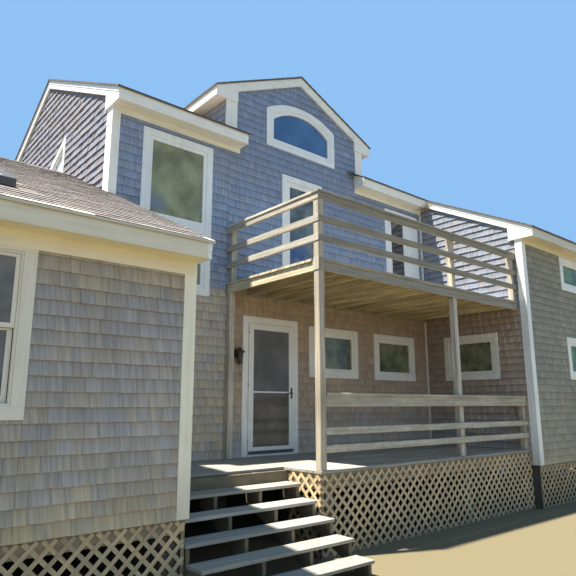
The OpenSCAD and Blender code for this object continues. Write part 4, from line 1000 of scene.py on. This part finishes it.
def lay_main_roof():
    pile = Pile()
    left, right = HOUSE_LEFT - RAKE, HOUSE_RIGHT + RAKE
    gable_foot = GABLE_LEFT + 0.300 - INTO_WALL, GABLE_RIGHT - 0.230 + INTO_WALL

    def in_gable(start, end, low, high):
        """Where the cross gable's walls and roof stand, the main roof has no tabs."""
        if low < INTO_WALL:
            return start > gable_foot[0] and end < gable_foot[1]
        half = (RIDGE - main_top(low)) / GABLE_PITCH
        return start > GABLE_MIDDLE - half - INTO_WALL and end < GABLE_MIDDLE + half + INTO_WALL and (
            start > GABLE_LEFT - GABLE_EAVE and end < GABLE_RIGHT + GABLE_EAVE)

    lay_slope(pile, (left, right), -EAVE, RIDGE_Y, main_top, "front", skip=in_gable)
    lay_slope(pile, (DECK_RIGHT - RAKE, right), BLOCK_FRONT - EAVE, -EAVE, main_top, "block")
    lay_slope(pile, (left, right), HOUSE_BACK + EAVE, RIDGE_Y, main_top, "back")
    lay_ridge(pile, left, right, RIDGE_Y, MAIN_PITCH, "x", "main")
    pile.show("main_roof_tabs", "roofing", "roof_shingles")


def lay_gable_roof():
    pile = Pile()

    def reach(x):
        """From the front rake back to where the slope meets the main roof."""
        return -RAKE, RIDGE_Y - (RIDGE - gable_top(x)) / MAIN_PITCH

    for side, tip in ((-1, GABLE_LEFT - GABLE_EAVE), (1, GABLE_RIGHT + GABLE_EAVE)):
        lay_slope(pile, reach, tip, GABLE_MIDDLE, gable_top, f"gable {side}", run_axis="x")
    lay_ridge(pile, -RAKE, RIDGE_Y, GABLE_MIDDLE, GABLE_PITCH, "y", "gable")
    pile.show("gable_roof_tabs", "roofing", "roof_shingles")


def lay_wing_roof():
    pile = Pile()
    left = WING_LEFT - RAKE

    def in_skylight(start, end, low, high):
        x0, x1, y0, y1 = SKYLIGHT
        return end > x0 + INTO_WALL and start < x1 - INTO_WALL and high > y0 + 0.03 and low < y1 - INTO_WALL

    def reach(y):
        return left, HOUSE_LEFT + RAKE if y < -0.03 else HOUSE_LEFT

    lay_slope(pile, reach, WING_FRONT - EAVE, WING_RIDGE_Y, wing_top, "wing front", skip=in_skylight, painted_eave_light=1.0)
    lay_slope(pile, (left, HOUSE_LEFT), WING_BACK + EAVE, WING_RIDGE_Y, wing_top, "wing back")
    lay_ridge(pile, left, HOUSE_LEFT, WING_RIDGE_Y, WING_PITCH, "x", "wing", WING_RIDGE)
    pile.show("wing_roof_tabs", "roofing", "roof_shingles")


# The wing's sash window

NEAR_WALL = 0.3  # the middles of a window's boards and panes are nearer than this to its wall


def in_wing_window(place):
    return WING_WINDOW[0] < place.x < WING_WINDOW[1] and place.y < WING_FRONT + NEAR_WALL


def in_block_front(place):
    return place.x > DECK_RIGHT + NEAR_WALL and place.y < BLOCK_FRONT + NEAR_WALL


def wing_sashes():
    """Casing under the frieze, a narrow stop round the opening, and an upper sash in front of a lower one."""
    casing, head, stop, gap, stile, rail, top_rail = 0.110, 0.034, 0.020, 0.006, 0.034, 0.040, 0.026
    meeting, hair = 2.478, 0.0005
    boards, glass = bmesh.new(), bmesh.new()

    def ring(x0, x1, z0, z1, side, bottom, top, front, back):
        """Four boards round an opening, the upright ones between the level ones; gives what they leave open."""
        front, back = WING_FRONT + front, WING_FRONT + back
        add_box(boards, (x0, front, z1 - top), (x1, back, z1))
        add_box(boards, (x0, front, z0), (x1, back, z0 + bottom))
        for edge in (x0, x1 - side):
            add_box(boards, (edge, front, z0 + bottom + hair), (edge + side, back, z1 - top - hair))
        return x0 + side, x1 - side, z0 + bottom, z1 - top

    opening = ring(*WING_WINDOW, casing, casing, head, -0.025, -hair)
    opening = ring(*opening, stop, stop, stop, -0.014, -hair)
    x0, x1, z0, z1 = ring(*opening, gap, gap, gap, -0.002, -hair)
    upper = ring(x0, x1, meeting - rail / 2, z1, stile, rail, top_rail, -0.008, 0.018)
    lower = ring(x0, x1, z0, meeting - rail / 2 - 0.001, stile + 0.010, rail + 0.020, 0.020, 0.024, 0.056)
    for (x0, x1, z0, z1), front, back in ((upper, -0.002, 0.004), (lower, 0.036, 0.042)):
        add_box(glass, (x0, WING_FRONT + front, z0), (x1, WING_FRONT + back, z1))
    bmesh.ops.translate(boards, vec=PLAN_SHIFT, verts=boards.verts)
    ease_edges(boards, bpy.context.scene.beach_house_trim.eased / 2)
    # The wing's window takes some painted warm bounce light, and dirt
    grain_and_tone(boards, "wing sashes", 0.1, 0.3, 0.32)
    show(boards, "painted_wing_window", "paint", in_plan=False)
    show(glass, "wing_window_panes", "grey_glass")


# Decks and lattice

BOARD_THICK = 0.038
LATTICE_THICK, LATTICE_BORDER, WIDE_BAND = 0.014, 0.040, 0.13


def lay_planks(name, replaced, left, top, notch=None, material="plank"):
    """Deck boards along the front, with gaps, eased edges and joints that are staggered.

    left is the boards' left end by its place y; notch is how far the corner post reaches in from the corner.
    """
    s = bpy.context.scene.beach_house_deck
    longest, long_board, short_board, stagger, end_gap = 3.8, 3.66, 2.44, 0.61, 0.001
    pick = seeded(name)
    bm = bmesh.new()
    count = round(DECK_DEPTH / (s.plank + s.gap))
    step = (DECK_DEPTH + s.gap) / count
    for index in range(count):
        y0 = index * step - DECK_DEPTH
        x0 = left(y0)
        cuts = [x0, DECK_RIGHT]
        if DECK_RIGHT - x0 > longest:
            cuts.insert(1, x0 + (short_board if index % 2 else long_board) + pick.choice((-stagger, 0.0)))
        for a, b in zip(cuts, cuts[1:]):
            by_post = notch and y0 < notch - DECK_DEPTH and a < notch
            add_box(bm, (notch if by_post else a + end_gap, y0, top - BOARD_THICK),
                    (b - end_gap, y0 + step - s.gap, top - pick.uniform(0.0, 0.0015)))
    ease_edges(bm, 0.003)
    grain_and_tone(bm, name)
    return show(bm, name, material, (replaced,))


def lap_over_corner_post():
    """The upper rails' boards and the rim's ends run past the corner post, as thin boards on its outer faces."""
    edge, post, skin = 0.008, 0.100, 0.0005
    rim, rails = (UNDER_DECK, UPPER_DECK), ((4.005, 4.095), (4.280, 4.370), (4.602, 4.692))
    for name, material, along_front in (("front_rail_laps", "rail", True), ("side_rail_laps", "post", False)):
        bm = bmesh.new()
        for low, high in (rim, *rails):
            by_post = (low, high) == rim
            if along_front:
                add_box(bm, (skin, skin - DECK_DEPTH, low),
                        (edge + post if by_post else DECK_RIGHT - edge, edge - DECK_DEPTH - skin / 2, high))
            else:
                add_box(bm, (skin, edge - DECK_DEPTH, low),
                        (edge - skin / 2, edge + post - DECK_DEPTH if by_post else -edge, high))
        bmesh.ops.translate(bm, vec=PLAN_SHIFT, verts=bm.verts)
        ease_edges(bm, 0.0015)
        grain_and_tone(bm, name)
        show(bm, name, material, in_plan=False)


def grey_outside(piece, is_outside):
    """Gives the faces that the weather reaches the grey of open wood; the others keep their tan, partly painted warm
    bounce light.
    """
    piece.data.materials.append(finish("plank"))
    for face in piece.data.polygons:
        face.material_index = 1 if is_outside(face) else 0


def clip_line(ends, low, high):
    """The part of a sloping line that lies between two places."""
    (a0, z0), (a1, z1) = sorted(ends)
    if a1 <= low or a0 >= high:
        return None
    rate = (z1 - z0) / (a1 - a0)
    if a0 < low:
        a0, z0 = low, z0 + rate * (low - a0)
    if a1 > high:
        a1, z1 = high, z1 - rate * (a1 - high)
    return (a0, z0), (a1, z1)


def lattice_panel(bm, wall, start, stop, head, band):
    """Two layers of crossed strips with boards behind their ends; band is the height of a wide top board."""
    step = bpy.context.scene.beach_house_deck.lattice_step
    strip, inset, strips_deep, hair, shortest = 0.039, 0.0145, 0.0095, 0.0003, 0.03
    border = LATTICE_BORDER

    def board(a, b, z0, z1):
        corners = wall.place(a, -strips_deep - hair, z0), wall.place(b, -LATTICE_THICK, z1)
        add_box(bm, *([pick_end(pair) for pair in zip(*corners)] for pick_end in (min, max)))

    under_top = head - (band or border)
    board(start, stop, under_top, head)
    board(start, stop, 0.0, border)
    board(start, start + border, border, under_top)
    board(stop - border, stop, border, under_top)
    low, high = inset, head - inset
    tall = high - low
    flat = (wall.place(0, 1, 0) - wall.place(0, 0, 0)).normalized()
    for layer, lean in enumerate((1, -1)):
        near = layer * strips_deep / 2
        deep = near + strips_deep / 2 - hair
        for index in range(int((stop - start + tall) / step) + 1):
            foot_at = start + (index + 0.5) * step - (tall if lean > 0 else 0)
            clipped = clip_line([(foot_at, low), (foot_at + lean * tall, high)], start + inset, stop - inset)
            if clipped is None:
                continue
            (a0, z0), (a1, z1) = clipped
            length = math.hypot(a1 - a0, z1 - z0)
            if length < shortest:
                continue
            middle = wall.place((a0 + a1) / 2, -(near + deep) / 2, (z0 + z1) / 2)
            way = (wall.place(a1, 0, z1) - wall.place(a0, 0, z0)).normalized()
            turn = Matrix((way, flat, way.cross(flat))).transposed().to_4x4()
            size = Matrix.Diagonal((length, deep - near, strip, 1))
            bmesh.ops.create_cube(bm, size=1.0, matrix=Matrix.Translation(middle) @ turn @ size)


def by_length(ends):
    """A rule to sort edges by their length, and like ones by their place."""
    start, end = (vert.co for vert in ends)
    return round((end - start).length, 4), *(start + end)


def lattice_piece(name, replaced, *panels, damp=0.0):
    """Panels in one piece, with the fibres along each strip, also where it slopes; the last option darkens the strips
    with the dark brown of wood behind and below.
    """
    bm = bmesh.new()
    for panel in panels:
        lattice_panel(bm, *panel)
    uv, tone = bm.loops.layers.uv.new("grain"), bm.loops.layers.float_color.new("tone")
    pick = seeded(name)
    behind = 0.8  # how much dark brown the boards behind the strips take, partly painted shade
    for faces in islands(bm):
        start, end = max((edge.verts for face in faces for edge in face.edges), key=by_length)
        way = (end.co - start.co).normalized()
        side = Vector((0, 0, 1)).cross(way)
        side = side.normalized() if side.length > 0.1 else Vector((1, 0, 0))
        across = side + way.cross(side)
        sloping = 0.1 < abs(way.z) < 0.9
        own = (pick.random(), pick.random(), damp if sloping else behind, 0.0)
        shift = grain_shift(pick)
        for face in faces:
            for loop in face.loops:
                co = loop.vert.co
                loop[uv].uv = (co.dot(way) + shift[0], co.dot(across) + shift[1])
                loop[tone] = own
    show(bm, name, "lattice", (replaced,))


# Operators

class PieceOperator:
    """What every operator here shares."""
    bl_options = {"REGISTER", "UNDO"}


def far_light(name, energy, colour, degrees, way):
    """A light from far off that shines one way, as wide as degrees say."""
    light = added_to_scene(name, bpy.data.lights.new(name, "SUN"))
    light.data.energy, light.data.color, light.data.angle = energy, colour, math.radians(degrees)
    light.matrix_world = way.to_track_quat("-Z", "Y").to_matrix().to_4x4()


class BEACHHOUSE_OT_stage(PieceOperator, bpy.types.Operator):
    """Sets up the camera, the soft studio light and the plain floor"""
    bl_idname = "beach_house.stage"
    bl_label = "Stage, light and camera"

    def execute(self, context):
        s = context.scene.beach_house_stage
        camera = added_to_scene("camera", bpy.data.cameras.new("camera"))
        camera.data.lens, camera.data.sensor_width, camera.data.clip_end = s.focal, 36.0, 500
        turn = Matrix.Rotation(-s.yaw, 3, "Z") @ Matrix.Rotation(math.pi / 2 + s.tilt, 3, "X")
        turn = turn @ Matrix.Rotation(s.roll, 3, "Z")
        camera.matrix_world = Matrix.Translation(CAMERA_PLACE + PLAN_SHIFT) @ turn.to_4x4()
        context.scene.camera = camera
        far_light("key_light", s.sun, (1.0, 0.95, 0.86), 1.5, KEY_WAY)
        far_light("warm_fill", s.fill, (1.0, 0.84, 0.58), 80, FILL_WAY)
        world = bpy.data.worlds.new("even_light")
        world.use_nodes = True
        back = world.node_tree.nodes["Background"]
        back.inputs["Color"].default_value = rgba(s.sky_colour)
        back.inputs["Strength"].default_value = s.sky
        context.scene.world = world
        context.scene.view_settings.view_transform = "Standard"
        bm = bmesh.new()
        bmesh.ops.create_grid(bm, x_segments=8, y_segments=8, size=220)
        mesh = bpy.data.meshes.new("floor")
        bm.to_mesh(mesh)
        bm.free()
        mesh.materials.append(finish("floor"))
        floor = added_to_scene("floor", mesh)
        return {"FINISHED"}


class BEACHHOUSE_OT_siding(PieceOperator, bpy.types.Operator):
    """Lays courses of cedar shingles on every outer wall"""
    bl_idname = "beach_house.siding"
    bl_label = "Wall shingles"

    def execute(self, context):
        lay_front_siding()
        lay_wing_siding()
        lay_side_siding()
        lay_far_siding()
        lay_back_siding()
        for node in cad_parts:
            if "wall" in node and node != "wall_lantern":
                paint_node(node, "sheathing")
        return {"FINISHED"}


class BEACHHOUSE_OT_roofing(PieceOperator, bpy.types.Operator):
    """Lays roofing tabs and ridge caps on every slope"""
    bl_idname = "beach_house.roofing"
    bl_label = "Roofing"

    def execute(self, context):
        roof_underlay()
        lay_main_roof()
        lay_gable_roof()
        lay_wing_roof()
        return {"FINISHED"}


def by_roof(wing, block, main):
    """A rule that gives one number for the wing's trim, one for the right block's and one for the main roof's."""
    return lambda place: wing if place.z < LOW_ROOF else block if place.y < IN_BLOCK else main


class BEACHHOUSE_OT_trim(PieceOperator, bpy.types.Operator):
    """Eases and paints the soffits, fascias, rakes and corner boards"""
    bl_idname = "beach_house.trim"
    bl_label = "Painted trim"

    def execute(self, context):
        # The third share is each trim's painted warm bounce light, most on the wing's and block's eaves
        painted("painted_eaves", "eave_soffits", warm=0.1, cream=by_roof(0.95, 0.8, 0.2), dirt=by_roof(0.12, 0.25, 0.0))
        painted("painted_fascias", "fascia_boards", warm=0.2, cream=by_roof(0.7, 0.7, 0.15),
                dirt=by_roof(0.35, 0.45, 0.0))
        painted("painted_rakes", "rake_boards", warm=0.6, cream=0.1)
        painted("painted_corner_boards", "corner_boards", warm=0.4,
                cream=lambda place: 0.7 if place.z < 3 and place.x < HOUSE_LEFT + 0.2 else 0.1)
        return {"FINISHED"}


class BEACHHOUSE_OT_windows(PieceOperator, bpy.types.Operator):
    """Paints the window and door frames and gives the panes their glass"""
    bl_idname = "beach_house.windows"
    bl_label = "Windows and deck doors"

    def execute(self, context):
        painted("painted_ground_windows", "ground_window_frames", warm=0.3, cream=0.15,
                keep=lambda place: not in_wing_window(place))
        painted("painted_upper_windows", "upper_window_frames", warm=0.8)
        painted("painted_gable_windows", "gable_window_frames", warm=0.6)
        painted("painted_deck_doors", "deck_door_frames", warm=0.8)
        panes("ground_window_glass", {
            "porch_panes": ("glass", lambda place: not in_wing_window(place) and not in_block_front(place)),
            "low_block_panes": ("green_glass", in_block_front)})
        wing_sashes()
        panes("upper_window_glass", {
            "big_window_pane": ("olive_glass", lambda place: place.x < 0 and place.y < 1),
            "high_block_panes": ("green_glass", in_block_front),
            "upper_panes": ("glass", lambda place: not in_block_front(place) and (place.x > 0 or place.y > 1))})
        panes("deck_door_glass", {
            "first_deck_door_pane": ("deck_glass", lambda place: place.x < GABLE_RIGHT),
            "second_deck_door_pane": ("dark_glass", lambda place: place.x > GABLE_RIGHT)})
        panes("gable_and_skylight_glass", {
            "arched_pane": ("blue_glass", lambda place: place.x > 0),
            "raked_pane": ("pale_glass", lambda place: place.x < 0 < place.y),
            "skylight_pane": ("pale_glass", lambda place: place.y < 0 and place.x < 0)})
        dressed("skylight_kerb", "skylight", "kerb", "skylight_metal", context.scene.beach_house_trim.eased)
        return {"FINISHED"}


class BEACHHOUSE_OT_house_door(PieceOperator, bpy.types.Operator):
    """Paints the storm door and its casing, and finishes the handle, hinges and lantern"""
    bl_idname = "beach_house.house_door"
    bl_label = "House door and lantern"

    def execute(self, context):
        painted("painted_door_casing", "door_casing", warm=0.2)
        painted("painted_storm_door", "storm_door", body="door", warm=0.2)
        left, right, sill, _ = HOUSE_DOOR
        # A dark strip across the foot of the storm door: painted shadow of the threshold below it
        threshold_shadow_strip, beside_leaf = bmesh.new(), 0.120
        add_box(threshold_shadow_strip, (left + beside_leaf, -0.0390, sill + 0.037), (right - beside_leaf, -0.0363, sill + 0.085))
        show(threshold_shadow_strip, "door_sweep", "rubber", body="door")
        for node, material in (("storm_door_glass", "door_glass"), ("door_handle", "metal"),
                               ("hinge_pins", "pale_metal"), ("hinge_sleeves", "pale_metal"),
                               ("wall_lantern", "lantern_metal")):
            paint_node(node, material)
        return {"FINISHED"}


class BEACHHOUSE_OT_decks(PieceOperator, bpy.types.Operator):
    """Lays the deck boards and weathers the frames, posts and rails"""
    bl_idname = "beach_house.decks"
    bl_label = "Decks and rails"

    def execute(self, context):
        lay_planks("lower_deck_planks", "lower_deck_boards",
                   lambda y: HOUSE_LEFT if y > -DECK_OVER_STAIR - 0.01 else 0.0, LOWER_DECK)
        # The upper deck's undersides and its joists keep the tan: partly painted warm bounce light
        planks = lay_planks("upper_deck_planks", "upper_deck_boards", lambda y: 0.0, UPPER_DECK, 0.108, "ceiling")
        grey_outside(planks, lambda face: face.normal.z > 0.5 or face.normal.y < -0.9)
        # The lower frame takes the dark brown of wood behind and below, partly painted shade
        weathered("weathered_lower_frame", "lower_deck_frame", "plank", 0.003, cream=0.92)
        joists = weathered("weathered_upper_frame", "upper_deck_frame", "ceiling", 0.003)
        grey_outside(joists, lambda face: face.normal.y < -0.9 or (
            face.normal.x < -0.9 and face.center.x < PLAN_SHIFT.x + 0.01))
        weathered("weathered_posts", "posts", "post", 0.004)
        weathered("weathered_lower_rail", "lower_front_rail", "mossy_rail", 0.004)
        weathered("weathered_upper_rail", "upper_front_rail", "rail", 0.004)
        weathered("weathered_side_rail", "upper_side_rail", "post", 0.004)
        lap_over_corner_post()
        return {"FINISHED"}


class BEACHHOUSE_OT_stair(PieceOperator, bpy.types.Operator):
    """Weathers the treads and stringers of the open stair"""
    bl_idname = "beach_house.stair"
    bl_label = "Stair"

    def execute(self, context):
        weathered("weathered_treads", "treads", "plank", 0.005)
        # The stringers take the dark brown of wood behind and below, partly painted shade
        weathered("weathered_stringers", "stringers", "plank", 0.003, cream=0.95)
        return {"FINISHED"}


class BEACHHOUSE_OT_lattice(PieceOperator, bpy.types.Operator):
    """Weaves the lattice skirt at its true step"""
    bl_idname = "beach_house.lattice"
    bl_label = "Lattice skirt"

    def execute(self, context):
        set_back = 0.020 - LATTICE_THICK
        under_boards, band = LOWER_DECK - BOARD_THICK, (SIDING_FOOT, WIDE_BAND)
        side, hair = LATTICE_THICK, 0.0003
        lattice_piece("wing_lattice", "lattice_wing", (Wall("x", WING_FRONT, -1), WING_LEFT, HOUSE_LEFT, *band),
                      damp=0.15)
        lattice_piece("deck_front_lattice", "lattice_deck_front",
                      (Wall("x", set_back - DECK_DEPTH, -1), 0.006, DECK_RIGHT, under_boards, 0))
        lattice_piece("deck_side_lattice", "lattice_deck_side",
                      (Wall("y", set_back, -1), 0.020 - DECK_DEPTH, -DECK_OVER_STAIR, under_boards, 0))
        lattice_piece("block_lattice", "lattice_block", (Wall("x", BLOCK_FRONT, -1), DECK_RIGHT, HOUSE_RIGHT, *band),
                      damp=0.4)
        lattice_piece("back_lattice", "lattice_back",
                      (Wall("y", WING_LEFT, -1), WING_FRONT + side, WING_BACK - side - hair, *band),
                      (Wall("x", WING_BACK, 1), WING_LEFT, HOUSE_LEFT, *band),
                      (Wall("x", HOUSE_BACK, 1), HOUSE_LEFT, HOUSE_RIGHT, *band),
                      (Wall("y", HOUSE_RIGHT, 1), BLOCK_FRONT + side, HOUSE_BACK - side - hair, *band))
        return {"FINISHED"}


class BEACHHOUSE_OT_timber(PieceOperator, bpy.types.Operator):
    """Finishes the piers, floors and roof bodies behind the siding"""
    bl_idname = "beach_house.timber"
    bl_label = "Piers, floors and roof timber"

    def execute(self, context):
        for node in ("piers", "ground_floor", "upper_floor", "roof_front", "roof_back", "roof_block", "gable_roof",
                     "wing_roof_front", "wing_roof_back"):
            paint_node(node, "sheathing")
        return {"FINISHED"}


class BEACHHOUSE_PT_sidebar(bpy.types.Panel):
    """Lists the pieces of the beach house and their sizes and colours"""
    bl_idname = "BEACHHOUSE_PT_sidebar"
    bl_label = "Beach House"
    bl_space_type = "VIEW_3D"
    bl_region_type = "UI"
    bl_category = "Beach House"

    def draw(self, context):
        for operator in OPERATORS:
            self.layout.operator(operator.bl_idname)
        for name in SETTINGS:
            group = getattr(context.scene, name)
            box = self.layout.box()
            for field in group.__annotations__:
                box.prop(group, field)


SETTINGS = {
    "beach_house_siding": BeachHouseSidingSettings,
    "beach_house_roof": BeachHouseRoofSettings,
    "beach_house_trim": BeachHouseTrimSettings,
    "beach_house_deck": BeachHouseDeckSettings,
    "beach_house_stage": BeachHouseStageSettings,
}
OPERATORS = (
    BEACHHOUSE_OT_stage, BEACHHOUSE_OT_siding, BEACHHOUSE_OT_roofing, BEACHHOUSE_OT_trim, BEACHHOUSE_OT_windows,
    BEACHHOUSE_OT_house_door, BEACHHOUSE_OT_decks, BEACHHOUSE_OT_stair, BEACHHOUSE_OT_lattice, BEACHHOUSE_OT_timber,
)


def register():
    for group in SETTINGS.values():
        bpy.utils.register_class(group)
    for name, group in SETTINGS.items():
        setattr(bpy.types.Scene, name, bpy.props.PointerProperty(type=group))
    for operator in OPERATORS:
        bpy.utils.register_class(operator)
    bpy.utils.register_class(BEACHHOUSE_PT_sidebar)


def unregister():
    bpy.utils.unregister_class(BEACHHOUSE_PT_sidebar)
    for operator in reversed(OPERATORS):
        bpy.utils.unregister_class(operator)
    for name, group in reversed(SETTINGS.items()):
        delattr(bpy.types.Scene, name)
        bpy.utils.unregister_class(group)


def main():
    register()
    bpy.ops.beach_house.stage()
    bpy.ops.beach_house.siding()
    bpy.ops.beach_house.roofing()
    bpy.ops.beach_house.trim()
    bpy.ops.beach_house.windows()
    bpy.ops.beach_house.house_door()
    bpy.ops.beach_house.decks()
    bpy.ops.beach_house.stair()
    bpy.ops.beach_house.lattice()
    bpy.ops.beach_house.timber()
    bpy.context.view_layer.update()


if __name__ == "__main__":
    main()
